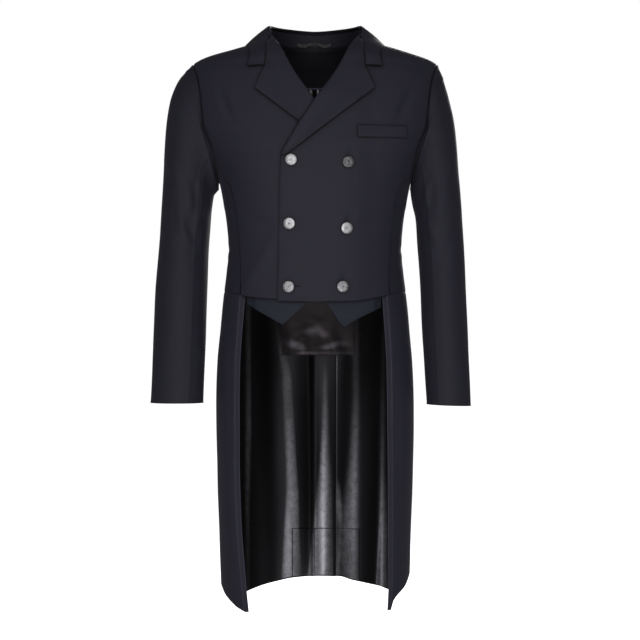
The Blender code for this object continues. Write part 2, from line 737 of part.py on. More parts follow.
def collar_fall(collection, name, material):
    """The leaf of the collar from notch to notch, curled over the stand behind the neck."""
    curl_steps = 3
    stations = [(LEFT, *row) for row in COLLAR] + [(RIGHT, *row) for row in COLLAR[-2::-1]]

    def curl_turn(inner_angle):
        return max(math.radians(COLLAR_CURL) * ease((inner_angle - NECK_START) / NECK_RUN), 0.02)

    def leaf(j, share):
        side, inner_angle, inner_z, outer_angle, outer_z = stations[j]
        seam_angle = shifted(inner_angle, inner_z, GAP + 0.0005)
        over_neck = ease((inner_angle - NECK_START) / NECK_RUN)
        start = on_body(side, seam_angle, inner_z, between(LAPEL_LIFT, COLLAR_LIFT, over_neck))
        end = on_body(side, outer_angle, outer_z, COLLAR_LIFT)
        chord = end - start
        outward = base_normal(side, outer_angle, outer_z)
        outward = (outward - chord * outward.dot(chord) / chord.length_squared).normalized()
        bulge = between(LEAF_BULGE, COLLAR_BULGE, over_neck) * 4 * share * (1 - share) ** 0.8
        point = start + chord * share + outward * bulge
        return pressed_out(side, point, LAPEL_LIFT if share == 0.0 else COLLAR_LIFT)

    def leaf_normal(j, share):
        before = leaf(max(j - 1, 0), share)
        after = leaf(min(j + 1, len(stations) - 1), share)
        down = leaf(j, min(share + 0.04, 1.0)) - leaf(j, max(share - 0.04, 0.0))
        normal = (after - before).cross(down).normalized()
        outward = Vector((leaf(j, share).x, leaf(j, share).y, 0.06)).normalized()
        return normal if normal.dot(outward) > 0 else -normal

    def point(i, j, depth):
        if i >= curl_steps:
            share = COLLAR_ACROSS[i - curl_steps]
            return leaf(j, share) - leaf_normal(j, share) * depth
        turn = curl_turn(stations[j][1])
        normal = leaf_normal(j, 0.0)
        down = leaf(j, 0.04) - leaf(j, 0.0)
        down = (down - normal * down.dot(normal)).normalized()
        flatness = 1 - ease(turn / 0.6)
        radius = between(CURL_RADIUS, FLAT_EDGE / turn, flatness)
        part = turn * (1 - i / curl_steps)
        centre = leaf(j, 0.0) - normal * radius
        reach = radius - depth if flatness < 0.5 else radius
        curled = centre - down * reach * math.sin(part) + normal * reach * math.cos(part)
        return curled if flatness < 0.5 else curled - normal * depth

    columns = curl_steps + len(COLLAR_ACROSS) - 1
    return wall(
        collection, name, material, columns, len(stations) - 1,
        lambda i, j: point(i, j, 0.0),
        lambda i, j: point(i, j, CLOTH),
    )


def collar_stand(collection, name, material):
    """The upright band between the neck seam and the fold of the collar."""
    half = [(row[0], row[1]) for row in COLLAR[7:]]
    stations = half + [(360.0 - angle, fold_z) for angle, fold_z in half[-2::-1]]

    def place(i, j):
        angle, fold_z = stations[i]
        return angle, between(NECK_SEAM + GAP / 2, fold_z - STAND_BELOW_FOLD, j / 2)

    return body_panel(collection, name, material, LEFT, len(stations) - 1, 2, place)


def sleeve(collection, names, material, side, rings):
    """Top sleeve and under sleeve of one arm, from the armhole to the cuff."""
    tables = [[row[column] for row in rings] for column in range(6)]
    curves = [smooth_through(list(enumerate(column))) for column in tables]
    last = len(rings) - 1

    def tube(turn, ring):
        outer_x, outer_z, inner_x, inner_z, middle_y, depth = (curve(ring) for curve in curves)
        cosine = math.cos(math.radians(turn))
        sine = math.sin(math.radians(turn))
        x = between(inner_x, outer_x, (1 + cosine) / 2)
        z = between(inner_z, outer_z, (1 + cosine) / 2)
        fullness = abs(sine) ** 0.92 * math.copysign(1.0, sine)
        y = middle_y - depth * fullness
        fold = fold_height(side * x, z) * ease(sine / 0.5)
        return Vector((side * x, y - fold, z))

    def tube_normal(turn, ring):
        around = tube(turn + 2, ring) - tube(turn - 2, ring)
        down = tube(turn, min(ring + 0.1, last)) - tube(turn, max(ring - 0.1, 0))
        return (down.cross(around) * side).normalized()

    def armhole_point(turn, shrink, lift):
        """A point beside the armhole's edge. It is drawn in towards the middle of the hole."""
        angle = armhole_angle(turn if turn <= 180 else turn - 360)
        z = armhole_height(turn)
        edge = base_point(side, angle, z)
        draw = Vector((0.0, ARMHOLE["y"] - edge.y, ARMHOLE["z"] - edge.z)).normalized()
        return edge + base_normal(side, angle, z) * lift + draw * shrink

    def point(turn, row, depth):
        if row >= 2:
            ring = row - 2
            return tube(turn, ring) - tube_normal(turn, ring) * depth
        lift = SLEEVE_TUCK if row == 0 else SLEEVE_ROLL
        return armhole_point(turn, 2 * GAP + depth, lift)

    def turns(start, end, columns):
        gap_turn = math.degrees(GAP / 2 / SLEEVE_RADIUS)
        values = [between(start, end, k / columns) for k in range(columns + 1)]
        values[0] += gap_turn
        values[-1] -= gap_turn
        return values

    rows = last + 2
    top_turns = turns(SLEEVE_SEAM_BACK - 360.0, SLEEVE_SEAM_FRONT, 16)
    under_turns = turns(SLEEVE_SEAM_FRONT, SLEEVE_SEAM_BACK, 8)
    for name, values in zip(names, (top_turns, under_turns)):
        wall(
            collection, name, material, len(values) - 1, rows,
            lambda i, j, values=values: point(values[i], rows - j, 0.0),
            lambda i, j, values=values: point(values[i], rows - j, CLOTH),
        )


def waistcoat_point(collection, name, material, outline):
    """A mock waistcoat corner behind the hem of the front."""
    rows = 4

    def place(i, j):
        x, low = outline[i]
        return x, between(low, POINT_TOP, j / rows)

    def point(i, j, depth):
        x, z = place(i, j)
        lift = -(CLOTH + POINT_GAP) - POINT_SAG * ease((POINT_TOP - z) / POINT_SAG_RUN)
        return on_body(LEFT, front_angle(x, z), z, lift - depth)

    return wall(
        collection, name, material, len(outline) - 1, rows,
        lambda i, j: point(i, j, 0.0),
        lambda i, j: point(i, j, LINING),
    )


def inner_flap(collection, name, material):
    """The satin flap behind the waistcoat points."""
    columns = 7
    rows = 7

    def point(i, j, depth):
        x = between(FLAP["left"], FLAP["right"], i / columns)
        z = between(FLAP["bottom"], FLAP["top"], j / rows)
        sag = FLAP["sag"] * ease((FLAP["top"] - z) / 0.10)
        wave = FLAP["wave"] * math.sin(9 * x / 0.06 + 30 * z) * ease((-0.50 - z) / 0.05)
        lift = -(CLOTH + POINT_GAP + LINING + LINING_GAP) - sag + wave
        return on_body(LEFT, front_angle(x, z), z, lift - depth)

    return wall(
        collection, name, material, columns, rows,
        lambda i, j: point(i, j, 0.0),
        lambda i, j: point(i, j, LINING),
    )


def breast_welt(collection, name, material):
    columns = 6
    rows = 2

    def point(i, j, depth):
        share = i / columns
        x = between(WELT["inner"], WELT["outer"], share)
        z = between(WELT["inner_z"], WELT["outer_z"], share) + WELT["height"] * j / rows
        lift = left_front_lift(x, z) + WELT["lift"]
        return on_body(LEFT, front_angle(x, z), z, lift - depth)

    return wall(
        collection, name, material, columns, rows,
        lambda i, j: point(i, j, 0.0),
        lambda i, j: point(i, j, WELT_CLOTH),
    )


def button_mesh(material):
    """A domed metal button on a short shank, turned round its axis."""
    profile = [
        (0.0, BUTTON_THICKNESS), (0.0060, 0.0037), (BUTTON_RADIUS - 0.0012, 0.0027), (BUTTON_RADIUS, 0.0019),
        (BUTTON_RADIUS - 0.0006, SHANK_LENGTH), (SHANK_RADIUS, SHANK_LENGTH), (SHANK_RADIUS, 0.0), (0.0, 0.0),
    ]
    mesh = bpy.data.meshes.new("button")
    edges = [(k, k + 1) for k in range(len(profile) - 1)]
    mesh.from_pydata([(radius, 0.0, height) for radius, height in profile], edges, [])
    mesh.materials.append(material)
    return mesh


def add_buttons(collection, material):
    mesh = button_mesh(material)
    for name, x, z in BUTTONS:
        piece = bpy.data.objects.new(name, mesh)
        collection.objects.link(piece)
        turned = piece.modifiers.new("turned", "SCREW")
        turned.steps = 14
        turned.render_steps = 14
        turned.use_merge_vertices = True
        turned.merge_threshold = 0.00005
        angle = front_angle(x, z)
        normal = base_normal(LEFT, angle, z)
        piece.location = on_body(LEFT, angle, z, left_front_lift(x, z) + BUTTON_SEAT)
        piece.rotation_mode = "QUATERNION"
        piece.rotation_quaternion = normal.to_track_quat("Z", "Y")


def hanger_loop(collection, name, material):
    """A short ribbon at the back neck, sewn down at its ends."""
    columns = 14

    def point(i, j, depth):
        share = i / columns
        x = between(LOOP["left"], LOOP["right"], share)
        wave = LOOP["wave"] * math.sin(math.pi * share) * (0.7 + 0.5 * math.sin(4 * math.pi * share))
        z = between(LOOP["low"], LOOP["high"], j) - LOOP["sag"] * math.sin(3 * math.pi * share)
        return on_body(LEFT, back_angle(x, z), z, -(CLOTH + LINING_GAP) - wave - depth)

    return wall(
        collection, name, material, columns, 1,
        lambda i, j: point(i, j, 0.0),
        lambda i, j: point(i, j, RIBBON),
    )


def build_jacket():
    jacket = start_collection("riding_show_jacket")
    cloth = make_material("show_cloth", (0.022, 0.023, 0.034), 0.75)
    lining = make_material("lining", (0.012, 0.012, 0.013), 0.32)
    metal = make_material("button_metal", (0.55, 0.55, 0.56), 0.32, 1.0)
    points = make_material("waistcoat_cloth", (0.018, 0.022, 0.040), 0.75)
    ribbon = make_material("ribbon", (0.020, 0.022, 0.035), 0.55)

    for side, word, rings in ((LEFT, "left", SLEEVE_LEFT), (RIGHT, "right", SLEEVE_RIGHT)):
        front_panel(jacket, f"front_{word}", cloth, side)
        side_panel(jacket, f"side_panel_{word}", cloth, side)
        back_panel(jacket, f"back_{word}", cloth, side)
        skirt(jacket, f"skirt_{word}", cloth, side)
        lapel(jacket, f"lapel_{word}", cloth, side)
        tail_lining(jacket, f"tail_lining_{word}", lining, side)
        sleeve(jacket, (f"top_sleeve_{word}", f"under_sleeve_{word}"), cloth, side, rings)

    collar_fall(jacket, "collar_fall", cloth)
    collar_stand(jacket, "collar_stand", cloth)
    neck_facing(jacket, "neck_facing", cloth)
    back_lining(jacket, "back_lining", lining)
    hanger_loop(jacket, "hanger_loop", ribbon)
    waistcoat_point(jacket, "waistcoat_point_right", points, POINT_RIGHT)
    waistcoat_point(jacket, "waistcoat_point_left", points, POINT_LEFT)
    inner_flap(jacket, "inner_flap", lining)
    breast_welt(jacket, "breast_welt", cloth)
    add_buttons(jacket, metal)


build_jacket()
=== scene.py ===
import math

import bpy
import numpy as np
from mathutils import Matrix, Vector


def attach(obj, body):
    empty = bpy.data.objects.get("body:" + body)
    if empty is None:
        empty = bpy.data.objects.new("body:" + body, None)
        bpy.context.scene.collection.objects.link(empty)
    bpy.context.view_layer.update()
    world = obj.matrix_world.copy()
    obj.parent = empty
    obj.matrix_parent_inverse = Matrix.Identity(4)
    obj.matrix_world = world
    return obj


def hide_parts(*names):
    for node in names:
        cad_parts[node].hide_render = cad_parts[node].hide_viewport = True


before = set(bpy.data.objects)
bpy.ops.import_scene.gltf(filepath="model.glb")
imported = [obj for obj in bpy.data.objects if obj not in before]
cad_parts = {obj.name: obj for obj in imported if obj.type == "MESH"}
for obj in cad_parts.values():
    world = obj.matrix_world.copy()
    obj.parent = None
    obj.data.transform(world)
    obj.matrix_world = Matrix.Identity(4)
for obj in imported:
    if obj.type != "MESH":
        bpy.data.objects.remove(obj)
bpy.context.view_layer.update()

# The view and the light. The camera stands level, in front of the jacket, as far off as in the photograph.
# The jacket is over a pale floor in a white studio. Broad soft lamps stand to both sides, with the brighter
# one on the wearer's right, and a low lamp puts a gloss on the lining of the tails.
CAMERA_PLACE = (0.0094, -3.2, -0.519)
PHOTO_WIDTH = 640
FOCAL_PIXELS = 1696.0
SENSOR = 36.0

scene = bpy.context.scene
scene.view_settings.view_transform = "Standard"
camera_data = bpy.data.cameras.new("camera")
camera_data.sensor_width = SENSOR
camera_data.lens = FOCAL_PIXELS * SENSOR / PHOTO_WIDTH
camera = bpy.data.objects.new("camera", camera_data)
camera.location = CAMERA_PLACE
camera.rotation_euler = (math.radians(90.0), 0.0, 0.0)
scene.collection.objects.link(camera)
scene.camera = camera


def soft_lamp(name, place, target, size, power):
    """A square soft box that faces a point."""
    data = bpy.data.lights.new(name, "AREA")
    data.shape = "RECTANGLE"
    data.size, data.size_y = size
    data.energy = power
    lamp = bpy.data.objects.new(name, data)
    lamp.location = place
    aim = Vector(target) - Vector(place)
    lamp.rotation_euler = aim.to_track_quat("-Z", "Y").to_euler()
    scene.collection.objects.link(lamp)


soft_lamp("key_lamp", (-0.95, -3.2, 0.45), (0.0, 0.0, -0.7), (1.0, 1.4), 30.0)
soft_lamp("fill_lamp", (1.15, -3.1, 0.2), (0.0, 0.0, -0.7), (1.0, 1.4), 20.0)
soft_lamp("front_lamp", (0.1, -3.5, 1.0), (0.0, 0.0, -0.4), (1.6, 0.7), 18.0)
soft_lamp("low_lamp", (0.0, -3.2, -1.22), (0.0, 0.1, -0.9), (1.2, 0.36), 42.0)
soft_lamp("back_lamp", (0.9, 3.4, 0.9), (0.0, 0.0, -0.5), (1.6, 1.4), 105.0)

AMBIENT = 0.13
FLOOR_Z = -1.45
FLOOR_HALF = 60.0

world = bpy.data.worlds.new("studio")
world.use_nodes = True
air = world.node_tree
air_path = air.nodes.new("ShaderNodeLightPath")
air_strength = air.nodes.new("ShaderNodeMix")
air_strength.inputs["A"].default_value = AMBIENT
air_strength.inputs["B"].default_value = 1.0
air.links.new(air_path.outputs["Is Camera Ray"], air_strength.inputs["Factor"])
air.links.new(air_strength.outputs["Result"], air.nodes["Background"].inputs["Strength"])
air.nodes["Background"].inputs["Color"].default_value = (1.0, 1.0, 1.0, 1.0)
scene.world = world

bpy.ops.object.select_all(action="DESELECT")
bpy.ops.mesh.primitive_plane_add(size=2 * FLOOR_HALF, location=(0.0, 0.0, FLOOR_Z))
pale_floor = bpy.context.active_object
pale_floor.name = "pale_floor"
stage_paint = bpy.data.materials.new("pale_paint")
stage_paint.use_nodes = True
paint = stage_paint.node_tree
paint_sockets = paint.nodes["Principled BSDF"].inputs
paint_sockets["Base Color"].default_value = (0.75, 0.75, 0.75, 1.0)
paint_sockets["Roughness"].default_value = 0.9
paint_sockets["Emission Color"].default_value = (1.0, 1.0, 1.0, 1.0)
paint_path = paint.nodes.new("ShaderNodeLightPath")
paint.links.new(paint_path.outputs["Is Camera Ray"], paint_sockets["Emission Strength"])
pale_floor.data.materials.append(stage_paint)

# The fronts. Each is one short cloth panel with a fused canvas behind it, cut off at the waist. The left one
# laps over the right. The cloth is a dark navy stretch twill with a little sheen, and it drags softly from
# the armhole.
CLOTH = 0.0016
GAP = 0.0003
NECK_SEAM = 0.007
SHOULDER_RIDGE = 91.0
ARMHOLE_TOP = -0.038
ARMHOLE_Z = -0.150
ARMHOLE_Y = 0.004
ARMHOLE_HEIGHT = 0.112
ARMHOLE_DEPTH = 0.062
CLOTH_COLOUR = (0.0128, 0.0122, 0.0196)
RIB_PITCH = 0.00095
THREAD_PITCH = 0.00052
STITCH_LENGTH = 0.0032
STITCH_WIDTH = 0.0007
# Width of the painted shadow line along the edges of cloth
EDGE_SHADOW_WIDTH = 0.0020
CREASE_SCALE = 2.1
UNDER_FRONT_RISE = 0.0034
# Body rings: height, half width, depth in front, depth behind, squareness
BODY_RINGS = (
    (0.042, 0.0865, 0.0560, 0.0865, 2.0), (0.024, 0.0870, 0.0600, 0.0860, 2.0),
    (0.010, 0.0890, 0.0640, 0.0855, 2.0), (0.004, 0.1000, 0.0670, 0.0870, 2.0),
    (-0.0036, 0.1300, 0.0710, 0.0930, 2.0), (-0.010, 0.1545, 0.0745, 0.0980, 2.0),
    (-0.020, 0.1895, 0.0800, 0.1050, 2.0), (-0.030, 0.2165, 0.0850, 0.1110, 2.0),
    (-0.038, 0.2290, 0.0880, 0.1150, 2.0), (-0.060, 0.2340, 0.0960, 0.1210, 2.1),
    (-0.100, 0.2360, 0.1070, 0.1270, 2.2), (-0.150, 0.2300, 0.1170, 0.1300, 2.3),
    (-0.205, 0.2000, 0.1250, 0.1290, 2.4), (-0.262, 0.1800, 0.1270, 0.1250, 2.4),
    (-0.300, 0.1722, 0.1240, 0.1180, 2.35), (-0.345, 0.1652, 0.1180, 0.1080, 2.3),
    (-0.385, 0.1625, 0.1130, 0.1020, 2.3), (-0.430, 0.1665, 0.1100, 0.1040, 2.25),
    (-0.482, 0.1730, 0.1090, 0.1120, 2.25), (-0.540, 0.1785, 0.1090, 0.1240, 2.25),
    (-0.600, 0.1842, 0.1080, 0.1340, 2.25), (-0.680, 0.1875, 0.1070, 0.1390, 2.25),
    (-0.800, 0.1852, 0.1050, 0.1390, 2.25), (-0.900, 0.1817, 0.1030, 0.1360, 2.25),
    (-1.000, 0.1785, 0.1010, 0.1330, 2.25), (-1.070, 0.1762, 0.1000, 0.1310, 2.25),
)
# Roll line of the left lapel and the front edge below it: height, x
ROLL_LINE = (
    (0.034, 0.0862), (0.021, 0.0824), (0.0, 0.0715), (-0.0194, 0.060), (-0.036, 0.052),
    (-0.060, 0.039), (-0.0965, 0.0145), (-0.1166, 0.0), (-0.134, -0.0105), (-0.1537, -0.024),
    (-0.170, -0.034), (-0.193, -0.047), (-0.211, -0.0575), (-0.2275, -0.0635), (-0.270, -0.0655),
    (-0.338, -0.0670), (-0.4855, -0.0705),
)
# Seam between the front and the side panel: height, angle
SIDE_SEAM = (
    (-0.247, 81.6), (-0.2582, 73.0), (-0.270, 66.0), (-0.300, 64.4), (-0.340, 64.8),
    (-0.390, 64.4), (-0.480, 62.3),
)
# Height of the waist seam and of the front hem: angle, height
WAIST_HEM = (
    (0.0, -0.4855), (35.0, -0.4840), (58.0, -0.4750), (75.0, -0.4670), (110.0, -0.4665), (180.0, -0.470),
)
# Largest folds seen from the front: x and z of both ends, depth, half width
LARGE_FOLDS = (
    (-0.185, -0.169, -0.087, -0.214, -0.0020, 0.013), (-0.073, -0.370, -0.121, -0.448, 0.0022, 0.013),
    (0.180, -0.092, 0.150, -0.153, -0.0020, 0.014), (-0.223, -0.251, -0.212, -0.303, -0.0030, 0.012),
    (-0.212, -0.303, -0.225, -0.357, -0.0030, 0.012), (-0.253, -0.291, -0.229, -0.389, -0.0030, 0.013),
    (0.210, -0.261, 0.212, -0.313, -0.0028, 0.012), (0.262, -0.330, 0.232, -0.400, -0.0026, 0.014),
)
# Flutes of the tails: x, depth, half width
FLUTES = (
    (-0.120, 0.004, 0.026), (-0.055, -0.006, 0.024), (0.013, 0.004, 0.024), (0.072, -0.006, 0.024),
    (0.130, 0.004, 0.026),
)
# Creases of the fronts: the line they follow (x, z), depth, half width
FRONT_CREASES = (
    (((-0.187, -0.168), (-0.167, -0.181), (-0.141, -0.191), (-0.110, -0.207), (-0.086, -0.214)),
     -0.0014, 0.0060),
    (((-0.190, -0.190), (-0.170, -0.206), (-0.150, -0.216)), -0.0009, 0.0060),
    (((-0.073, -0.3705), (-0.087, -0.391), (-0.102, -0.417), (-0.121, -0.4484)), 0.0014, 0.0060),
    (((-0.080, -0.400), (-0.098, -0.432), (-0.106, -0.462)), -0.0008, 0.0070),
    (((0.180, -0.092), (0.163, -0.127), (0.1505, -0.153)), -0.0014, 0.0065),
    (((0.176, -0.200), (0.140, -0.214), (0.105, -0.220)), -0.0008, 0.0070),
    (((0.070, -0.205), (0.064, -0.222), (0.060, -0.235)), -0.0009, 0.0060),
    (((0.066, -0.325), (0.060, -0.340), (0.0575, -0.352)), -0.0008, 0.0060),
    (((0.060, -0.430), (0.053, -0.446), (0.050, -0.458)), -0.0008, 0.0060),
    (((0.128, -0.330), (0.098, -0.342), (0.078, -0.349)), -0.0006, 0.0080),
    (((-0.128, -0.322), (-0.095, -0.335), (-0.066, -0.341)), -0.0006, 0.0080),
)


def smooth_curve(points):
    """A smooth curve through (place, value) points that never swings past them, read for whole arrays."""
    places, values = np.array(sorted(points), float).T
    spans = np.diff(places)
    slopes = np.diff(values) / spans
    tangents = np.zeros(len(places))
    product = slopes[:-1] * slopes[1:]
    both = slopes[:-1] + slopes[1:]
    tangents[1:-1] = np.where(product > 0, 2 * product / np.where(product > 0, both, 1.0), 0.0)
    tangents[0] = slopes[0]
    tangents[-1] = slopes[-1]

    def value(place):
        place = np.clip(place, places[0], places[-1])
        k = np.clip(np.searchsorted(places, place, side="right") - 1, 0, len(spans) - 1)
        t = (place - places[k]) / spans[k]
        start = values[k] * (1 + 2 * t) * (1 - t) ** 2 + tangents[k] * spans[k] * t * (1 - t) ** 2
        end = values[k + 1] * t * t * (3 - 2 * t) + tangents[k + 1] * spans[k] * t * t * (t - 1)
        return start + end

    return value


def ease(value):
    value = np.clip(value, 0.0, 1.0)
    return value * value * (3 - 2 * value)


def between(start, end, share):
    return start + (end - start) * share


ring_width, ring_front, ring_back, ring_square = (
    smooth_curve([(row[0], row[column]) for row in BODY_RINGS]) for column in range(1, 5)
)
roll_x = smooth_curve(ROLL_LINE)
side_seam = smooth_curve(SIDE_SEAM)
waist_hem = smooth_curve(WAIST_HEM)


def large_fold_height(x, z):
    total = np.zeros(np.shape(x))
    for x0, z0, x1, z1, depth, width in LARGE_FOLDS:
        length = math.hypot(x1 - x0, z1 - z0)
        along = ((x - x0) * (x1 - x0) + (z - z0) * (z1 - z0)) / length ** 2
        away = np.abs((x - x0) * (z1 - z0) - (z - z0) * (x1 - x0)) / length
        beyond = np.maximum(np.maximum(-along, along - 1), 0.0) * length
        total = total + depth * np.exp(-((away / width) ** 2 + (beyond / width) ** 2))
    return total


def flute_height(x, z):
    grow = ease((-0.50 - z) / 0.35)
    return sum(depth * grow * np.exp(-(((x - middle) / width) ** 2)) for middle, depth, width in FLUTES)


def body_point(angle, z):
    """The outer face of the body. The angle runs from the centre front, and the wearer's left is positive."""
    turn = np.radians(angle)
    cosine = np.cos(turn)
    square = ring_square(z)
    depth = np.where(cosine > 0, ring_front(z), ring_back(z))
    sideways = np.abs(np.sin(turn) / ring_width(z)) ** square
    radius = (sideways + np.abs(cosine / depth) ** square) ** (-1 / square)
    x = radius * np.sin(turn)
    radius = radius + large_fold_height(x, z) * ease((cosine - 0.12) / 0.3)
    radius = radius + flute_height(x, z) * ease(-cosine / 0.5)
    return np.stack([radius * np.sin(turn), -radius * cosine, z + 0 * angle], axis=-1)


def unit(vectors):
    return vectors / np.maximum(np.linalg.norm(vectors, axis=-1, keepdims=True), 1e-12)


def body_normal(angle, z):
    around = body_point(angle + 0.4, z) - body_point(angle - 0.4, z)
    up = body_point(angle, z + 0.0012) - body_point(angle, z - 0.0012)
    return unit(np.cross(around, up))


def front_angle(x, z):
    """The angle of the point of the front that has this x."""
    square = ring_square(z)
    inside = np.maximum(1 - np.abs(x / ring_width(z)) ** square, 0.0)
    return np.degrees(np.arctan2(x, ring_front(z) * inside ** (1 / square)))


def back_angle(x, z):
    square = ring_square(z)
    inside = np.maximum(1 - np.abs(x / ring_width(z)) ** square, 0.0)
    return 180.0 - np.degrees(np.arctan2(x, ring_back(z) * inside ** (1 / square)))


def shifted(angle, z, distance):
    point = body_point(angle, z)
    return angle + np.degrees(distance / np.hypot(point[..., 0], point[..., 1]))


def armhole_angle(turn):
    """The angle of the armhole's edge. Turns run from its top, over the front, to the bottom."""
    turn = np.radians(turn)
    z = ARMHOLE_Z + ARMHOLE_HEIGHT * np.cos(turn)
    y = ARMHOLE_Y - ARMHOLE_DEPTH * np.sin(turn)
    square = ring_square(z)
    depth = np.where(y < 0, ring_front(z), ring_back(z))
    x = ring_width(z) * (1 - np.abs(y / depth) ** square) ** (1 / square)
    return np.degrees(np.arctan2(x, -y))


def armhole_turn(z):
    return np.degrees(np.arccos(np.clip((z - ARMHOLE_Z) / ARMHOLE_HEIGHT, -1.0, 1.0)))


def crease_height(across, height, creases):
    """Soft troughs (negative) and ridges along short drawn lines, faded at both ends."""
    total = np.zeros(np.shape(across))
    for line, depth, half_width in creases:
        nearest = np.full(np.shape(across), 9.0)
        along = np.zeros(np.shape(across))
        done = 0.0
        for (x0, z0), (x1, z1) in zip(line, line[1:]):
            length = math.hypot(x1 - x0, z1 - z0)
            share = np.clip(((across - x0) * (x1 - x0) + (height - z0) * (z1 - z0)) / length ** 2, 0, 1)
            away = np.hypot(across - x0 - share * (x1 - x0), height - z0 - share * (z1 - z0))
            along = np.where(away < nearest, done + share * length, along)
            nearest = np.minimum(away, nearest)
            done += length
        fade = np.sin(np.pi * np.clip(along / done, 0.03, 0.97)) ** 0.7
        beside = np.exp(-(((nearest - 2.1 * half_width) / half_width) ** 2))
        total = total + depth * fade * (np.exp(-((nearest / half_width) ** 2)) - 0.4 * beside)
    return total


def drape(across, height, amount, phase=0.0):
    """The slow unevenness of hanging cloth."""
    slow = np.sin(34 * across + 13 * height + phase) * np.sin(9 * height - 21 * across + 2.1 * phase)
    quick = 0.45 * np.sin(71 * across - 27 * height + 3.7 * phase) * np.sin(25 * height + 1.3 * phase)
    return amount * (slow + quick)


def spread(count, length, margins=(0.0008, 0.0018, 0.0032, 0.0055)):
    """Shares of a row or column, with a few more close to both ends."""
    near = np.array([0.0] + [margin / length for margin in margins])
    middle = np.linspace(near[-1], 1 - near[-1], max(count - 2 * len(margins), 3))
    return np.concatenate([near, middle[1:-1], (1 - near)[::-1]])


def running_length(points, axis):
    steps = np.linalg.norm(np.diff(points, axis=axis), axis=-1)
    start = np.zeros_like(np.take(steps, [0], axis=axis))
    return np.concatenate([start, np.cumsum(steps, axis=axis)], axis=axis)


def thick_cloth(name, outer, inner, material):
    """A closed wall between two grids of points.

    It has a UV map in metres and stores each point's distance to the edges.
    """
    rows, columns = outer.shape[:2]
    count = rows * columns
    index = np.arange(count).reshape(rows, columns)
    a, b, c, d = index[:-1, :-1], index[:-1, 1:], index[1:, 1:], index[1:, :-1]
    front = np.stack([a, b, c, d], -1).reshape(-1, 4)
    rims = []
    for edge in (index[0, ::-1], index[-1, :], index[:, 0], index[::-1, -1]):
        rims.append(np.stack([edge[1:], edge[:-1], edge[:-1] + count, edge[1:] + count], -1))
    rims = np.concatenate(rims)[:, ::-1]
    faces = np.concatenate([front, front[:, ::-1] + count, rims])
    points = np.concatenate([outer.reshape(-1, 3), inner.reshape(-1, 3)])
    corners = points[faces]
    swept = np.einsum("ij,ij->i", corners[:, 0], np.cross(corners[:, 1], corners[:, 2]))
    swept = swept + np.einsum("ij,ij->i", corners[:, 0], np.cross(corners[:, 2], corners[:, 3]))
    if swept.sum() < 0:
        faces = faces[:, ::-1]
    mesh = bpy.data.meshes.new(name)
    mesh.from_pydata(points.tolist(), [], faces.tolist())
    along = running_length(outer, 1)
    upward = running_length(outer, 0)
    edge = np.minimum(np.minimum(along, along[:, -1:] - along), np.minimum(upward, upward[-1:] - upward))
    flat = np.stack([along, upward], -1).reshape(-1, 2)
    flat = np.concatenate([flat, flat])
    layer = mesh.uv_layers.new(name="cut")
    corner_points = np.zeros(len(mesh.loops), np.int32)
    mesh.loops.foreach_get("vertex_index", corner_points)
    layer.data.foreach_set("uv", flat[corner_points].astype(np.float32).ravel())
    attribute = mesh.attributes.new("edge_distance", "FLOAT", "POINT")
    attribute.data.foreach_set("value", np.concatenate([edge, edge]).astype(np.float32).ravel())
    mesh.materials.append(material)
    mesh.shade_smooth()
    mesh.set_sharp_from_angle(angle=math.radians(50))
    piece = bpy.data.objects.new(name, mesh)
    scene.collection.objects.link(piece)
    return piece


def seam_dip(points, depth=0.0007, reach=0.0024):
    """How far cloth sinks towards its edges, where it is turned in or sewn."""
    along = running_length(points, 1)
    upward = running_length(points, 0)
    edge = np.minimum(np.minimum(along, along[:, -1:] - along), np.minimum(upward, upward[-1:] - upward))
    return -depth * np.exp(-((edge / reach) ** 2))


def body_cloth(name, angle, z, material, lift=0.0, thickness=CLOTH, dip=0.0007):
    """A piece that follows the body, given the angle and height of each grid point."""
    base = body_point(angle, z)
    normal = body_normal(angle, z)
    height = (lift + seam_dip(base, dip))[..., None]
    return thick_cloth(name, base + normal * height, base + normal * (height - thickness), material)


def new_node(tree, kind, **inputs):
    node = tree.nodes.new(kind)
    for key, value in inputs.items():
        node.inputs[key.replace("_", " ")].default_value = value
    return node


def maths(tree, operation, first, second=None):
    """A math node fed by sockets or numbers."""
    node = tree.nodes.new("ShaderNodeMath")
    node.operation = operation
    for slot, value in enumerate((first, second)):
        if value is None:
            continue
        if hasattr(value, "is_output"):
            tree.links.new(value, node.inputs[slot])
        else:
            node.inputs[slot].default_value = value
    return node.outputs[0]


def soft_line(tree, distance, place, width):
    """1 on a line at the given place, falling to 0 at its width."""
    off = maths(tree, "ABSOLUTE", maths(tree, "SUBTRACT", distance, place))
    return maths(tree, "MAXIMUM", maths(tree, "SUBTRACT", 1.0, maths(tree, "DIVIDE", off, width)), 0.0)


def scaled(tree, colour, share):
    """A colour made darker or lighter."""
    node = tree.nodes.new("ShaderNodeVectorMath")
    node.operation = "SCALE"
    tree.links.new(colour, node.inputs[0])
    tree.links.new(share, node.inputs["Scale"])
    return node.outputs["Vector"]


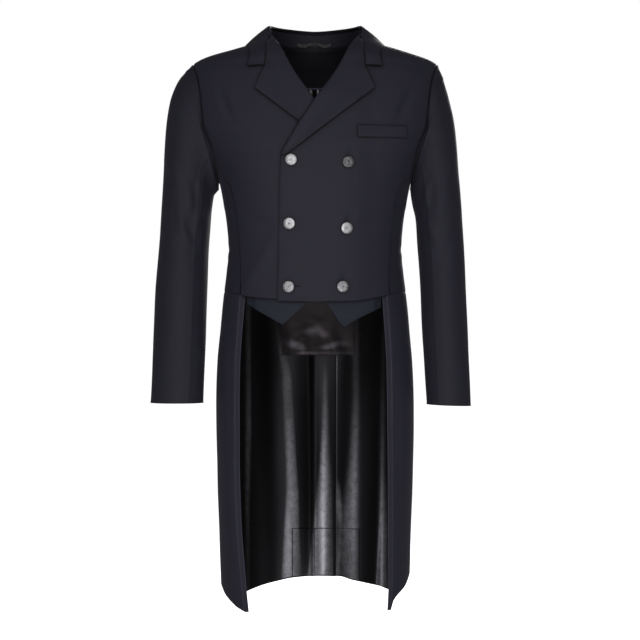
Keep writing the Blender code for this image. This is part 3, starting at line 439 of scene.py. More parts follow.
def twill_finish(name, colour, stitch=0.0, sheen=0.04, strip=None, hollow=0.06, seam=0.0):
    """Fine twill with slanting ribs, slightly uneven colour and a soft sheen.

    It has painted shade where cloth lies close to cloth, from an occlusion node, down to the share given as
    hollow, and a painted shadow line along its edges by the share given as seam. If asked, it has a stitched
    line near its edge, and painted highlight lines along a strip.
    """
    material = bpy.data.materials.new(name)
    material.use_nodes = True
    tree = material.node_tree
    shader = tree.nodes["Principled BSDF"]
    shader.inputs["Sheen Weight"].default_value = sheen
    shader.inputs["Sheen Roughness"].default_value = 0.45
    shader.inputs["Sheen Tint"].default_value = (0.60, 0.62, 0.80, 1.0)
    shader.inputs["Specular IOR Level"].default_value = 0.16
    where = tree.nodes.new("ShaderNodeTexCoord")
    cut = tree.nodes.new("ShaderNodeSeparateXYZ")
    tree.links.new(where.outputs["UV"], cut.inputs[0])
    slow = new_node(tree, "ShaderNodeTexNoise", Scale=9.0, Detail=4.0, Roughness=0.6)
    fibre = new_node(tree, "ShaderNodeTexNoise", Scale=900.0, Detail=3.0, Roughness=0.7)
    tree.links.new(where.outputs["Object"], slow.inputs["Vector"])
    tree.links.new(where.outputs["Object"], fibre.inputs["Vector"])
    slant = maths(tree, "ADD", cut.outputs["X"], maths(tree, "MULTIPLY", cut.outputs["Y"], 0.62))
    rib = maths(tree, "SINE", maths(tree, "MULTIPLY", slant, 2 * math.pi / RIB_PITCH))
    thread = maths(tree, "SINE", maths(tree, "MULTIPLY", cut.outputs["X"], 2 * math.pi / THREAD_PITCH))
    weave = maths(tree, "ADD", maths(tree, "MULTIPLY", rib, 0.35), maths(tree, "MULTIPLY", thread, 0.12))
    weave = maths(tree, "ADD", weave, maths(tree, "MULTIPLY", fibre.outputs["Fac"], 1.1))
    shade = tree.nodes.new("ShaderNodeMix")
    shade.data_type = "RGBA"
    shade.inputs["A"].default_value = (*(c * 0.80 for c in colour), 1.0)
    shade.inputs["B"].default_value = (*(c * 1.22 for c in colour), 1.0)
    cloudy = maths(tree, "MULTIPLY", slow.outputs["Fac"], 0.6)
    tree.links.new(maths(tree, "ADD", cloudy, maths(tree, "MULTIPLY", weave, 0.22)), shade.inputs["Factor"])
    # Painted shade: an ambient occlusion node darkens the colour where cloth lies close to cloth.
    nearby = new_node(tree, "ShaderNodeAmbientOcclusion", Distance=0.012)
    nearby.samples = 8
    painted_occlusion_shade = new_node(tree, "ShaderNodeMapRange")
    painted_occlusion_shade.inputs["From Min"].default_value = 0.58
    painted_occlusion_shade.inputs["From Max"].default_value = 0.97
    painted_occlusion_shade.inputs["To Min"].default_value = hollow
    tree.links.new(nearby.outputs["AO"], painted_occlusion_shade.inputs["Value"])
    tone = painted_occlusion_shade.outputs["Result"]
    # Painted highlights: light lines are added to the colour along the strip.
    if strip:
        axis, strength, width, places = strip
        for place in places:
            line = soft_line(tree, cut.outputs[axis], place, width)
            tone = maths(tree, "ADD", tone, maths(tree, "MULTIPLY", line, strength))
    edge = tree.nodes.new("ShaderNodeAttribute")
    edge.attribute_name = "edge_distance"
    # Painted shadow: the colour darkens towards the sheet's edges, standing in for the shade along and under
    # edges.
    if seam:
        painted_edge_shadow = maths(tree, "ADD", maths(tree, "DIVIDE", edge.outputs["Fac"], EDGE_SHADOW_WIDTH), 1.0 - seam)
        tone = maths(tree, "MULTIPLY", tone, maths(tree, "MINIMUM", painted_edge_shadow, 1.0))
    tree.links.new(scaled(tree, shade.outputs["Result"], tone), shader.inputs["Base Color"])
    rough = maths(tree, "ADD", maths(tree, "MULTIPLY", slow.outputs["Fac"], 0.16), 0.62)
    tree.links.new(rough, shader.inputs["Roughness"])
    relief = weave
    if stitch:
        groove = soft_line(tree, edge.outputs["Fac"], stitch, STITCH_WIDTH)
        both = maths(tree, "ADD", cut.outputs["X"], cut.outputs["Y"])
        dash = maths(tree, "SINE", maths(tree, "MULTIPLY", both, 2 * math.pi / STITCH_LENGTH))
        sewn = maths(tree, "MULTIPLY", groove, maths(tree, "ADD", maths(tree, "MULTIPLY", dash, 0.5), -1.1))
        relief = maths(tree, "ADD", relief, maths(tree, "MULTIPLY", sewn, 5.0))
    bump = new_node(tree, "ShaderNodeBump", Strength=0.35, Distance=0.00016)
    tree.links.new(relief, bump.inputs["Height"])
    tree.links.new(bump.outputs["Normal"], shader.inputs["Normal"])
    return material


def dressed(piece, node):
    """Hands a finished sheet of cloth to the frame in place of its plain solid."""
    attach(piece, "root")
    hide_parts(node)


def left_front_lift(x, z):
    """The left front lies over the right one, and its roll line stands over the right lapel."""
    over = 0.0027 * ease((0.110 - x) / 0.035) * ease((-0.06 - z) / 0.06)
    near_roll = ease(1 - (x - roll_x(z)) / 0.030)
    return over + 0.0034 * near_roll * ease((z + 0.235) / 0.03) * ease((-0.075 - z) / 0.04)


# The navy finish paints shade where cloth lies close to cloth and a painted shadow line along each piece's
# edges.
twill = twill_finish("navy_twill", CLOTH_COLOUR, seam=0.6)
armhole_rows = ARMHOLE_Z + ARMHOLE_HEIGHT * np.cos(np.radians(np.linspace(150.0, 0.0, 44)))
shoulder_rows = np.linspace(ARMHOLE_TOP, NECK_SEAM - GAP / 2, 16)[1:]
low_hem = WAIST_HEM[0][1]
near_edge = np.array([0.0, 0.0008, 0.0018, 0.0032, 0.0055])
hem_rows = low_hem + near_edge
front_rows = np.concatenate([hem_rows, np.arange(-0.4762, -0.2495, 0.0043), armhole_rows, shoulder_rows])

for side, word in ((1, "left"), (-1, "right")):
    z = np.repeat(front_rows[:, None], 66, axis=1)
    shares = spread(66, 0.19)[None, :]
    below = side_seam(z)
    beside = armhole_angle(armhole_turn(z))
    outer_edge = np.where(z < ARMHOLE_TOP - 1e-6, beside, SHOULDER_RIDGE)
    outer_edge = np.where(z < armhole_rows[0] - 1e-6, below, outer_edge)
    inner_edge = front_angle(roll_x(z) + 0.0022, z)
    angle = between(inner_edge, shifted(outer_edge, z, -GAP / 2), shares)
    hem = waist_hem(np.abs(angle)) + GAP / 2
    if side == -1:
        hem = hem + UNDER_FRONT_RISE * ease((56.0 - angle) / 20.0)
    z = z + (hem - low_hem) * (1 - ease((z - low_hem) / 0.07))
    x = side * body_point(side * angle, z)[..., 0]
    lift = left_front_lift(x, z) if side == 1 else np.zeros(z.shape)
    lift = lift + CREASE_SCALE * crease_height(x, z, FRONT_CREASES) + drape(x, z, 0.0005, side)
    piece = body_cloth(f"front_{word}_cloth", side * angle, z, twill, lift)
    dressed(piece, f"front_{word}")

# The side panels. One on each side runs from the armhole to the waist seam and gives the body its waist.
# Seam between the side panel and the back: height, angle
BACK_SEAM = (
    (-0.247, 101.0), (-0.262, 108.5), (-0.285, 120.0), (-0.320, 131.0), (-0.385, 137.0),
    (-0.482, 142.0), (-0.600, 141.0), (-0.800, 139.0), (-1.060, 137.0),
)
SIDE_CREASES = (
    (((0.150, -0.300), (0.160, -0.315), (0.168, -0.322)), -0.0008, 0.006),
    (((0.146, -0.380), (0.158, -0.388), (0.170, -0.386)), -0.0009, 0.006),
    (((0.144, -0.402), (0.156, -0.410), (0.165, -0.412)), -0.0007, 0.006),
)
back_seam = smooth_curve(BACK_SEAM)

for side, word in ((1, "left"), (-1, "right")):
    columns = 34
    turns = np.linspace(150.0, 210.0, columns)
    top = ARMHOLE_Z + ARMHOLE_HEIGHT * np.cos(np.radians(turns))
    at_hole = armhole_angle(np.where(turns <= 180, turns, turns - 360))
    start = side_seam(top)
    shares = np.clip((at_hole - start) / (back_seam(top) - start), 0.0, 1.0)
    shares[0] = 0.0
    shares[-1] = 1.0
    rows = spread(60, 0.21)[:, None]
    z = between(-0.475, top[None, :], rows)
    angle = between(shifted(side_seam(z), z, GAP), shifted(back_seam(z), z, -GAP / 2), shares[None, :])
    hem = waist_hem(angle) + GAP / 2
    z = between(hem, top[None, :], rows)
    angle = between(shifted(side_seam(z), z, GAP), shifted(back_seam(z), z, -GAP / 2), shares[None, :])
    x = side * body_point(side * angle, z)[..., 0]
    lift = crease_height(x, z, SIDE_CREASES) + drape(x, z, 0.0003, 2 + side)
    piece = body_cloth(f"side_panel_{word}_cloth", side * angle, z, twill, lift)
    dressed(piece, f"side_panel_{word}")

# The backs. Each is cut in one length from the neck to the tail hem. They are sewn down the centre to the
# waist, and below it the wearer's right back has an underlap that lies inside the left one and makes the vent.
VENT_DIP = 0.0053
VENT_TOP = -0.487
VENT_EDGE = 0.043
# Tail hem: angle, height on the left, height on the right
TAIL_HEM = (
    (56.0, -1.0610, -1.0600), (60.5, -1.0595, -1.0572), (64.2, -1.0560, -1.0530), (66.6, -1.0370, -1.0500),
    (70.0, -1.0275, -1.0438), (76.0, -1.0165, -1.0333), (86.0, -0.9985, -1.0180),
    (105.0, -1.0180, -1.0240), (114.0, -1.0330, -1.0390), (122.0, -1.0413, -1.0480),
    (129.0, -1.0372, -1.0440), (139.0, -1.0325, -1.0360), (148.0, -1.0275, -1.0300),
    (159.0, -1.0215, -1.0240), (180.0, -1.0216, -1.0216),
)
BACK_CREASES = (
    (((-0.155, -0.225), (-0.120, -0.240), (-0.085, -0.246)), -0.0012, 0.008),
    (((0.160, -0.215), (0.122, -0.236), (0.092, -0.240)), -0.0012, 0.008),
    (((-0.095, -0.372), (-0.055, -0.384), (-0.020, -0.381)), -0.0012, 0.007),
    (((0.100, -0.380), (0.062, -0.391), (0.030, -0.386)), -0.0011, 0.007),
    (((-0.085, -0.408), (-0.045, -0.416), (-0.018, -0.412)), -0.0008, 0.007),
    (((0.075, -0.418), (0.040, -0.425), (0.015, -0.421)), -0.0008, 0.007),
    (((-0.150, -0.080), (-0.120, -0.105), (-0.095, -0.135)), -0.0008, 0.010),
    (((0.140, -0.075), (0.115, -0.100), (0.092, -0.125)), -0.0008, 0.010),
    (((-0.040, -0.030), (0.000, -0.036), (0.040, -0.031)), -0.0009, 0.006),
)
tail_hem_left = smooth_curve([(row[0], row[1]) for row in TAIL_HEM])
tail_hem_right = smooth_curve([(row[0], row[2]) for row in TAIL_HEM])


def tail_hem(side, angle):
    angle = np.minimum(angle, 180.0)
    return tail_hem_left(angle) if side == 1 else tail_hem_right(angle)


def vent_dip(side, x, z):
    if side == 1:
        return np.zeros(np.shape(z))
    return -VENT_DIP * ease((x + 0.014) / 0.012) * ease((-0.470 - z) / 0.014)


def centre_edge(side, z, inset=0.0):
    if side == 1:
        return 180.0 - np.degrees((GAP / 2 + inset) / ring_back(z))
    x = between(-GAP / 2, VENT_EDGE, ease((VENT_TOP - z) / 0.018)) - inset
    return 180.0 + np.degrees(np.arctan2(x, ring_back(z)))


def back_outer_edge(z):
    below = back_seam(z)
    beside = armhole_angle(-armhole_turn(z))
    edge = np.where(z < ARMHOLE_TOP - 1e-6, beside, SHOULDER_RIDGE)
    edge = np.where(z < armhole_rows[0] - 1e-6, below, edge)
    return np.where((z < armhole_rows[0]) | (z > ARMHOLE_TOP), shifted(edge, z, GAP / 2), edge)


tail_low = -1.0350
tail_rows = np.concatenate([tail_low + near_edge, np.arange(-1.024, -0.520, 0.0095)])
back_rows = np.concatenate([tail_rows, np.arange(-0.516, -0.2495, 0.0050), armhole_rows, shoulder_rows])
for side, word in ((1, "left"), (-1, "right")):
    z = np.repeat(back_rows[:, None], 58, axis=1)
    shares = spread(58, 0.17)[None, :]
    angle = between(back_outer_edge(z), centre_edge(side, z), shares)
    hem = tail_hem(side, angle)
    z = z + (hem - tail_low) * (1 - ease((z - tail_low) / 0.12))
    x = body_point(side * angle, z)[..., 0]
    lift = vent_dip(side, x, z) + crease_height(x, z, BACK_CREASES) + drape(x, z, 0.0005, 5 + side)
    piece = body_cloth(f"back_{word}_cloth", side * angle, z, twill, lift)
    dressed(piece, f"back_{word}")

# The skirts. They are the front part of each tail, sewn to the body at the waist. A narrow strip of the
# cloth turns inwards along the front edge, and both corners of the hem hang lowest in front.
# Inner end of the strip: height, x on the left, x on the right, strip width
TAIL_FRONT = (
    (-0.470, 0.1232, 0.1284, 0.0110), (-0.626, 0.1327, 0.1385, 0.0100), (-0.747, 0.1338, 0.1392, 0.0092),
    (-0.868, 0.1350, 0.1365, 0.0083), (-1.000, 0.1358, 0.1275, 0.0070), (-1.060, 0.1333, 0.1216, 0.0065),
)
STRIP_TURN = 0.35
SKIRT_CREASES = (
    (((-0.166, -0.560), (-0.164, -0.700), (-0.158, -0.880), (-0.149, -1.030)), 0.0022, 0.0100),
    (((-0.152, -0.500), (-0.158, -0.640), (-0.155, -0.800)), -0.0010, 0.0080),
    (((0.158, -0.500), (0.166, -0.620), (0.165, -0.760), (0.158, -0.940)), 0.0014, 0.0100),
    (((0.150, -0.620), (0.153, -0.780), (0.150, -0.960)), -0.0008, 0.0080),
)
tail_front_left, tail_front_right, strip_width = (
    smooth_curve([(row[0], row[column]) for row in TAIL_FRONT]) for column in (1, 2, 3)
)


def tail_fold_x(side, z):
    inner_end = tail_front_left(z) if side == 1 else tail_front_right(z)
    return inner_end + strip_width(z)


STRIP_COLUMNS = 5
# The skirt's top runs this far up behind the waist seam, sunk as deep in a dip this wide
SEAM_TUCK, TUCK_DEPTH, TUCK_WIDTH = 0.0012, 0.0012, 0.0013
# Two painted highlight lines run along the skirts' turned strip, at its fold and at its inner end.
strip_twill = twill_finish("strip_twill", CLOTH_COLOUR, strip=("X", 1.5, 0.0010, (0.0009, 0.0096)))
for side, word in ((1, "left"), (-1, "right")):
    rows = spread(96, 0.58)[:, None]
    main = spread(52, 0.22)[None, :]
    z = between(-1.035, -0.470, rows) + 0 * main
    for _ in range(2):
        angle = between(front_angle(tail_fold_x(side, z), z), shifted(back_seam(z), z, -GAP / 2), main)
        z = between(tail_hem(side, angle), waist_hem(angle) + SEAM_TUCK, rows)
    base = body_point(side * angle, z)
    normal = body_normal(side * angle, z)
    x = side * base[..., 0]
    lift = crease_height(side * x, z, SKIRT_CREASES) + drape(side * x, z, 0.0006, 9 + side) + seam_dip(base)
    lift = lift - TUCK_DEPTH * np.exp(-(((waist_hem(angle) + SEAM_TUCK - z) / TUCK_WIDTH) ** 2))
    wall = base + normal * lift[..., None]
    strip = unit(np.array([-side, STRIP_TURN, 0.0]))
    strip_normal = unit(np.array([-side * STRIP_TURN, -1.0, 0.0]))
    reach = np.linspace(1.0, 1.0 / STRIP_COLUMNS, STRIP_COLUMNS)[None, :, None]
    turned = wall[:, :1] + strip * strip_width(z[:, :1])[..., None] * reach
    outer = np.concatenate([turned, wall], axis=1)
    directions = np.concatenate([np.broadcast_to(strip_normal, turned.shape), normal], axis=1)
    mitre = unit(directions[:, STRIP_COLUMNS] + strip_normal)
    directions[:, STRIP_COLUMNS] = mitre / np.maximum((mitre * strip_normal).sum(-1, keepdims=True), 0.5)
    piece = thick_cloth(f"skirt_{word}_cloth", outer, outer - directions * CLOTH, strip_twill)
    dressed(piece, f"skirt_{word}")

# The sleeves. Each has a top sleeve and an under sleeve, set into the armhole with a little fullness and
# plain at the cuff. The cloth breaks in front of the elbow and below the armpit.
# Rings of a sleeve: outer x, outer z, inner x, inner z, centre y, half depth
SLEEVE_LEFT = (
    (0.2390, -0.0620, 0.1815, -0.2720, 0.004, 0.0640), (0.2515, -0.1040, 0.1830, -0.2870, 0.003, 0.0660),
    (0.2620, -0.1500, 0.1855, -0.3030, 0.002, 0.0660), (0.2690, -0.2360, 0.1910, -0.3300, 0.000, 0.0640),
    (0.2740, -0.3050, 0.1935, -0.3720, -0.003, 0.0610), (0.2792, -0.3810, 0.1965, -0.4100, -0.006, 0.0580),
    (0.2825, -0.4600, 0.2000, -0.4680, -0.010, 0.0550), (0.2850, -0.5500, 0.2032, -0.5500, -0.018, 0.0490),
    (0.2880, -0.6300, 0.2075, -0.6320, -0.026, 0.0430), (0.2898, -0.6790, 0.2100, -0.6760, -0.030, 0.0400),
)
SLEEVE_RIGHT = (
    (0.2408, -0.0500, 0.1835, -0.2720, 0.004, 0.0640), (0.2574, -0.0710, 0.1880, -0.2770, 0.004, 0.0660),
    (0.2719, -0.1080, 0.1925, -0.2830, 0.003, 0.0670), (0.2782, -0.1500, 0.1950, -0.2980, 0.002, 0.0670),
    (0.2816, -0.2040, 0.1972, -0.3180, 0.000, 0.0650), (0.2844, -0.2660, 0.1985, -0.3450, -0.002, 0.0620),
    (0.2898, -0.3490, 0.2010, -0.3880, -0.005, 0.0590), (0.2989, -0.4736, 0.2037, -0.4750, -0.011, 0.0550),
    (0.3025, -0.5800, 0.2072, -0.5800, -0.021, 0.0470), (0.3062, -0.6735, 0.2100, -0.6735, -0.030, 0.0420),
)
# Creases in front of the arms: line (x, z), depth, half width
SLEEVE_FRONT_CREASES = (
    (((-0.2227, -0.2508), (-0.2138, -0.2768), (-0.2125, -0.3028), (-0.2164, -0.3314), (-0.2246, -0.3574)),
     -0.0022, 0.0055),
    (((-0.2070, -0.2490), (-0.2138, -0.2768)), -0.0016, 0.0050),
    (((-0.2532, -0.2906), (-0.2450, -0.3520), (-0.2287, -0.3890)), -0.0018, 0.0070),
    (((-0.2700, -0.2100), (-0.2580, -0.2500), (-0.2540, -0.2850)), -0.0010, 0.0080),
    (((-0.2100, -0.3900), (-0.2300, -0.4050), (-0.2480, -0.4080)), -0.0011, 0.0060),
    (((-0.2860, -0.4300), (-0.2650, -0.4450), (-0.2450, -0.4500)), -0.0008, 0.0070),
    (((0.2100, -0.2608), (0.2074, -0.3028), (0.2126, -0.3129)), -0.0018, 0.0055),
    (((0.2155, -0.3980), (0.2490, -0.3980)), -0.0010, 0.0060),
    (((0.2640, -0.3100), (0.2480, -0.3550), (0.2300, -0.3850)), -0.0010, 0.0080),
    (((0.2080, -0.3300), (0.2200, -0.3620), (0.2260, -0.3850)), -0.0010, 0.0060),
    (((0.2560, -0.2000), (0.2500, -0.2400), (0.2380, -0.2750)), -0.0008, 0.0090),
)
SLEEVE_BACK_CREASES = (
    (((-0.2800, -0.3600), (-0.2500, -0.3800), (-0.2150, -0.3780)), -0.0016, 0.0065),
    (((-0.2780, -0.3950), (-0.2450, -0.4080), (-0.2120, -0.4050)), -0.0012, 0.0065),
    (((-0.2600, -0.2200), (-0.2350, -0.2600), (-0.2150, -0.3000)), -0.0012, 0.0080),
    (((0.2750, -0.3550), (0.2450, -0.3760), (0.2080, -0.3720)), -0.0015, 0.0065),
    (((0.2780, -0.3920), (0.2500, -0.4030), (0.2120, -0.4000)), -0.0011, 0.0065),
    (((0.2500, -0.2150), (0.2300, -0.2550), (0.2120, -0.2900)), -0.0012, 0.0080),
)
SLEEVE_CREASE_SCALE = 1.6
SEAM_FRONT = 120.0
SEAM_BACK = 240.0
SLEEVE_RADIUS = 0.055
# The sleeve's edge in the armhole: its inset, and how far below and above the body's cloth it runs
HOLE_INSET = 0.0006
HOLE_LIFTS = (-0.0012, 0.0008, 0.0024)

# The sleeves' cloth is the navy made darker as painted shade, with weaker painted occlusion shade.
sleeve_twill_shaded = twill_finish("sleeve_twill_shaded", tuple(0.87 * c for c in CLOTH_COLOUR), hollow=0.40)
for side, word, rings in ((1, "left", SLEEVE_LEFT), (-1, "right", SLEEVE_RIGHT)):
    ring_curves = [smooth_curve([(k, row[column]) for k, row in enumerate(rings)]) for column in range(6)]
    last = len(rings) - 1

    def tube(turn, ring):
        outer_x, outer_z, inner_x, inner_z, middle_y, depth = (curve(ring) for curve in ring_curves)
        cosine = np.cos(np.radians(turn))
        sine = np.sin(np.radians(turn))
        x = side * between(inner_x, outer_x, (1 + cosine) / 2)
        z = between(inner_z, outer_z, (1 + cosine) / 2)
        y = middle_y - depth * np.abs(sine) ** 0.92 * np.sign(sine)
        return np.stack([x, y - large_fold_height(x, z) * ease(sine / 0.5), z], axis=-1)

    def tube_normal(turn, ring):
        around = tube(turn + 1.5, ring) - tube(turn - 1.5, ring)
        down = tube(turn, np.minimum(ring + 0.06, last)) - tube(turn, np.maximum(ring - 0.06, 0))
        return unit(np.cross(down, around)) * side

    def armhole_ring(turn, shrink, lift):
        """The sleeve's own edge, drawn in beside the armhole."""
        z = ARMHOLE_Z + ARMHOLE_HEIGHT * np.cos(np.radians(turn))
        angle = armhole_angle(turn)
        edge = body_point(side * angle, z)
        inwards = np.stack([0 * z, ARMHOLE_Y - edge[..., 1], ARMHOLE_Z - z], axis=-1)
        return edge + body_normal(side * angle, z) * lift + unit(inwards) * shrink

    for part, start, end, columns, flat, area in (
        ("top", SEAM_BACK - 360.0, SEAM_FRONT, 84, (0.26, 0.66), 0.118),
        ("under", SEAM_FRONT, SEAM_BACK, 46, (0.14, 0.48), 0.047),
    ):
        seam_turn = math.degrees(GAP / 2 / SLEEVE_RADIUS)
        across = spread(columns, 0.17 if part == "top" else 0.09)
        turns = between(start + seam_turn, end - seam_turn, across)
        down = np.concatenate([spread(112, 0.62, margins=(0.0010, 0.0022, 0.0040))[:-1], [1.0]]) * last
        turn, ring = np.meshgrid(turns, down)
        base = tube(turn, ring)
        normal = tube_normal(turn, ring)
        facing = np.sin(np.radians(turn))
        x, y, z = base[..., 0], base[..., 1], base[..., 2]
        lift = SLEEVE_CREASE_SCALE * crease_height(x, z, SLEEVE_FRONT_CREASES) * ease(facing / 0.35)
        lift = lift + crease_height(x, z, SLEEVE_BACK_CREASES) * ease(-facing / 0.35)
        lift = lift + drape(x + 0.3 * y, z, 0.0007, 12 + side) * ease(ring / 1.5)
        lift = lift + seam_dip(base, 0.0006)
        gathers = np.cos(np.radians(turn * 9.0)) * ease(np.cos(np.radians(turn)))
        fullness = 0.0011 * gathers * np.exp(-((ring / 0.25) ** 2))
        surface = base + normal * (lift + fullness)[..., None]
        lining = surface - normal * CLOTH
        hole_turn = np.where(turns <= 180, turns, turns - 360)
        edges = [armhole_ring(hole_turn, HOLE_INSET, height) for height in HOLE_LIFTS]
        hidden = [armhole_ring(hole_turn, HOLE_INSET + CLOTH, height) for height in HOLE_LIFTS]
        outer = np.concatenate([np.stack(edges), surface])
        inner = np.concatenate([np.stack(hidden), lining])
        piece = thick_cloth(f"{part}_sleeve_{word}_cloth", outer[::-1], inner[::-1], sleeve_twill_shaded)
        dressed(piece, f"{part}_sleeve_{word}")

# The lapels. The top of each front is turned back over it at the roll line, and its notched edge is
# stitched close by. The fold is a soft curl round the edge of the front.
LAPEL_LIFT = 0.0026
CURL_LENGTH = 0.0043
# Outer edge from the bottom over the notch to the collar: height, x
LAPEL_EDGE = (
    (-0.2210, -0.0536), (-0.1577, 0.0282), (-0.0965, 0.1074), (-0.0945, 0.1100), (-0.0925, 0.1092),
    (-0.0720, 0.1002), (-0.0515, 0.0915),
)
# Seam between the lapel and the collar: height, angle
GORGE = (
    (-0.0515, 47.0), (-0.0370, 48.6), (-0.0230, 51.0), (-0.0110, 56.0), (-0.0010, 62.0),
    (0.0060, 69.0), (0.0125, 75.0), (0.0240, 82.0), (0.0340, 90.0),
)
RIGHT_LAPEL_START = -0.1625
collar_seam = smooth_curve(GORGE)
# A strong painted shadow line runs along its edges, standing in for the shade under lapel and collar edges.
edged_twill = twill_finish("stitched_twill", CLOTH_COLOUR, stitch=0.0055, seam=0.95)


def lapel_edge_angle(z):
    places, values = zip(*LAPEL_EDGE)
    below = front_angle(np.interp(z, places, values), z)
    return np.where(z > LAPEL_EDGE[-1][0], shifted(collar_seam(z), z, -GAP), below)


for side, word in ((1, "left"), (-1, "right")):
    bottom = -0.2195 if side == 1 else RIGHT_LAPEL_START
    heights = np.concatenate([
        bottom + np.array([0.0, 0.0008, 0.002, 0.004]), np.linspace(bottom + 0.006, -0.098, 26),
        [-0.0965, -0.0955, -0.0945, -0.0935, -0.0925, -0.091],
        np.linspace(-0.088, -0.0535, 10), np.linspace(-0.0515, 0.0320, 28),
    ])
    z = heights[:, None]
    start_x = roll_x(z) if side == 1 else np.maximum(roll_x(z), -(roll_x(z) + 0.010))
    full = math.radians(95.0)
    turn = np.full(z.shape, full) if side == 1 else np.maximum(full * ease((z + 0.124) / 0.016), 0.02)

    def flat_part(share, depth=0.0):
        start = front_angle(start_x + CURL_LENGTH / turn * np.sin(turn), z)
        angle = between(start, lapel_edge_angle(z), share)
        height = z + 0 * angle
        x = side * body_point(side * angle, height)[..., 0]
        below = left_front_lift(x, height) if side == 1 else 0.0
        belly = 0.0009 * 4 * share * (1 - share) + drape(x, height, 0.0002, 20 + side)
        edge_rise = 0.0022 * ease((share - 0.45) / 0.55) * ease((-0.045 - z) / 0.02)
        lift = (below + LAPEL_LIFT + belly + edge_rise - depth)[..., None]
        return body_point(side * angle, height) + body_normal(side * angle, height) * lift

    curl_steps = 8
    shares = spread(40, 0.09)[None, :]
    start = flat_part(np.zeros((1, 1)))
    normal = unit(start - flat_part(np.zeros((1, 1)), CLOTH))
    along = unit(flat_part(np.full((1, 1), 0.02)) - start)
    along = unit(along - normal * (along * normal).sum(-1, keepdims=True))
    radius = (CURL_LENGTH / turn)[..., None]
    part = (turn * (1 - np.arange(curl_steps) / curl_steps)[None, :])[..., None]

    def curled(depth):
        reach = radius - depth
        return start - normal * radius - along * reach * np.sin(part) + normal * reach * np.cos(part)

    outer = np.concatenate([curled(0.0), flat_part(shares)], axis=1)
    inner = np.concatenate([curled(CLOTH), flat_part(shares, CLOTH)], axis=1)
    piece = thick_cloth(f"lapel_{word}_cloth", outer, inner, edged_twill)
    area = 0.0126 if side == 1 else 0.0110
    dressed(piece, f"lapel_{word}")

# The collar. A leaf of the same cloth runs from notch to notch and folds over a stand that is sewn to the
# neck. The stand shows inside the back of the neck.
COLLAR_LIFT = 0.0029
CURL_RADIUS = 0.0034
# From the notch to the centre back: inner angle, inner height, outer angle, outer height
COLLAR = (
    (47.0, -0.0515, 57.0, -0.0530), (48.6, -0.0370, 58.0, -0.0410), (51.0, -0.0230, 59.5, -0.0290),
    (56.0, -0.0110, 63.5, -0.0190), (62.0, -0.0010, 69.0, -0.0115), (69.0, 0.0060, 75.5, -0.0075),
    (75.0, 0.0125, 81.5, -0.0050), (82.0, 0.0240, 86.5, -0.0040), (90.0, 0.0340, 93.0, -0.0036),
    (101.0, 0.0380, 103.0, -0.0042), (112.0, 0.0395, 114.0, -0.0055), (128.0, 0.0397, 129.0, -0.0080),
    (145.0, 0.0395, 146.0, -0.0105), (162.0, 0.0385, 163.0, -0.0122), (180.0, 0.0375, 180.0, -0.0130),
)
collar_rows = [list(row) for row in COLLAR]
collar_rows += [[360 - row[0], row[1], 360 - row[2], row[3]] for row in COLLAR[-2::-1]]
collar_curves = [smooth_curve([(k, row[column]) for k, row in enumerate(collar_rows)]) for column in range(4)]
collar_end = len(collar_rows) - 1
stations = np.concatenate([[0.0, 0.05, 0.12, 0.22], np.linspace(0.35, collar_end - 0.35, 108)])
stations = np.concatenate([stations, collar_end - np.array([0.22, 0.12, 0.05, 0.0])])[:, None]


def pressed_out(point, lift):
    """The points, moved out until they lie at least this far above the body's cloth."""
    for _ in range(3):
        angle = np.degrees(np.arctan2(point[..., 0], -point[..., 1])) % 360.0
        normal = body_normal(angle, point[..., 2])
        height = ((point - body_point(angle, point[..., 2])) * normal).sum(-1)
        point = point + normal * np.maximum(lift - height, 0.0)[..., None]
    return point


def leaf(station, share):
    inner_angle, inner_z, outer_angle, outer_z = (curve(station) for curve in collar_curves)
    own = np.minimum(inner_angle, 360.0 - inner_angle)
    over_neck = ease((own - 77.0) / 13.0)
    tucked = 0.0012 * ease((own - 49.0) / 4.0)
    nudge = np.where(inner_angle > 180.0, -1, 1) * (GAP + 0.0002 - tucked)
    seam = shifted(inner_angle, inner_z, nudge * (1 - over_neck))
    seam_lift = between(LAPEL_LIFT, COLLAR_LIFT, over_neck) - 0.4 * tucked * (1 - over_neck)
    start = body_point(seam, inner_z) + body_normal(seam, inner_z) * seam_lift[..., None]
    end = body_point(outer_angle, outer_z) + body_normal(outer_angle, outer_z) * COLLAR_LIFT
    chord = end - start
    outward = body_normal(outer_angle, outer_z)
    outward = outward - chord * ((outward * chord).sum(-1) / (chord ** 2).sum(-1))[..., None]
    bulge = between(0.0010, 0.0020, over_neck) * 4 * share * (1 - share) ** 0.8
    point = start + chord * share[..., None] + unit(outward) * bulge[..., None]
    end_rise = 0.0016 * ease((56.0 - own) / 8.0) * ease(share / 0.5)
    return pressed_out(point, between(LAPEL_LIFT, COLLAR_LIFT, ease(share / 0.2)) + end_rise)


shares = spread(30, 0.05, margins=(0.0006, 0.0014, 0.0028))[None, :]
grid = np.broadcast_arrays(stations, shares)
fall = leaf(*grid)
for _ in range(60):
    middle = (fall[:-2] + 2 * fall[1:-1] + fall[2:]) / 4
    own = np.minimum(collar_curves[0](stations[1:-1]), 360.0 - collar_curves[0](stations[1:-1]))
    share_smoothed = (ease((own - 50.0) / 8.0) * ease((88.0 - own) / 6.0))[..., None]
    fall[1:-1] = between(fall[1:-1], middle, share_smoothed)
around = np.gradient(fall, axis=0)
across = np.gradient(fall, axis=1)
fall_normal = unit(np.cross(around, across))
outward = fall * np.array([1.0, 1.0, 0.0]) + np.array([0.0, 0.0, 0.06])
fall_normal = fall_normal * np.sign((fall_normal * outward).sum(-1, keepdims=True))
own_angle = np.minimum(collar_curves[0](stations), 360.0 - collar_curves[0](stations))
curl_turn = np.maximum(math.radians(150.0) * ease((own_angle - 83.0) / 10.0), 0.0)
curl_columns = 10
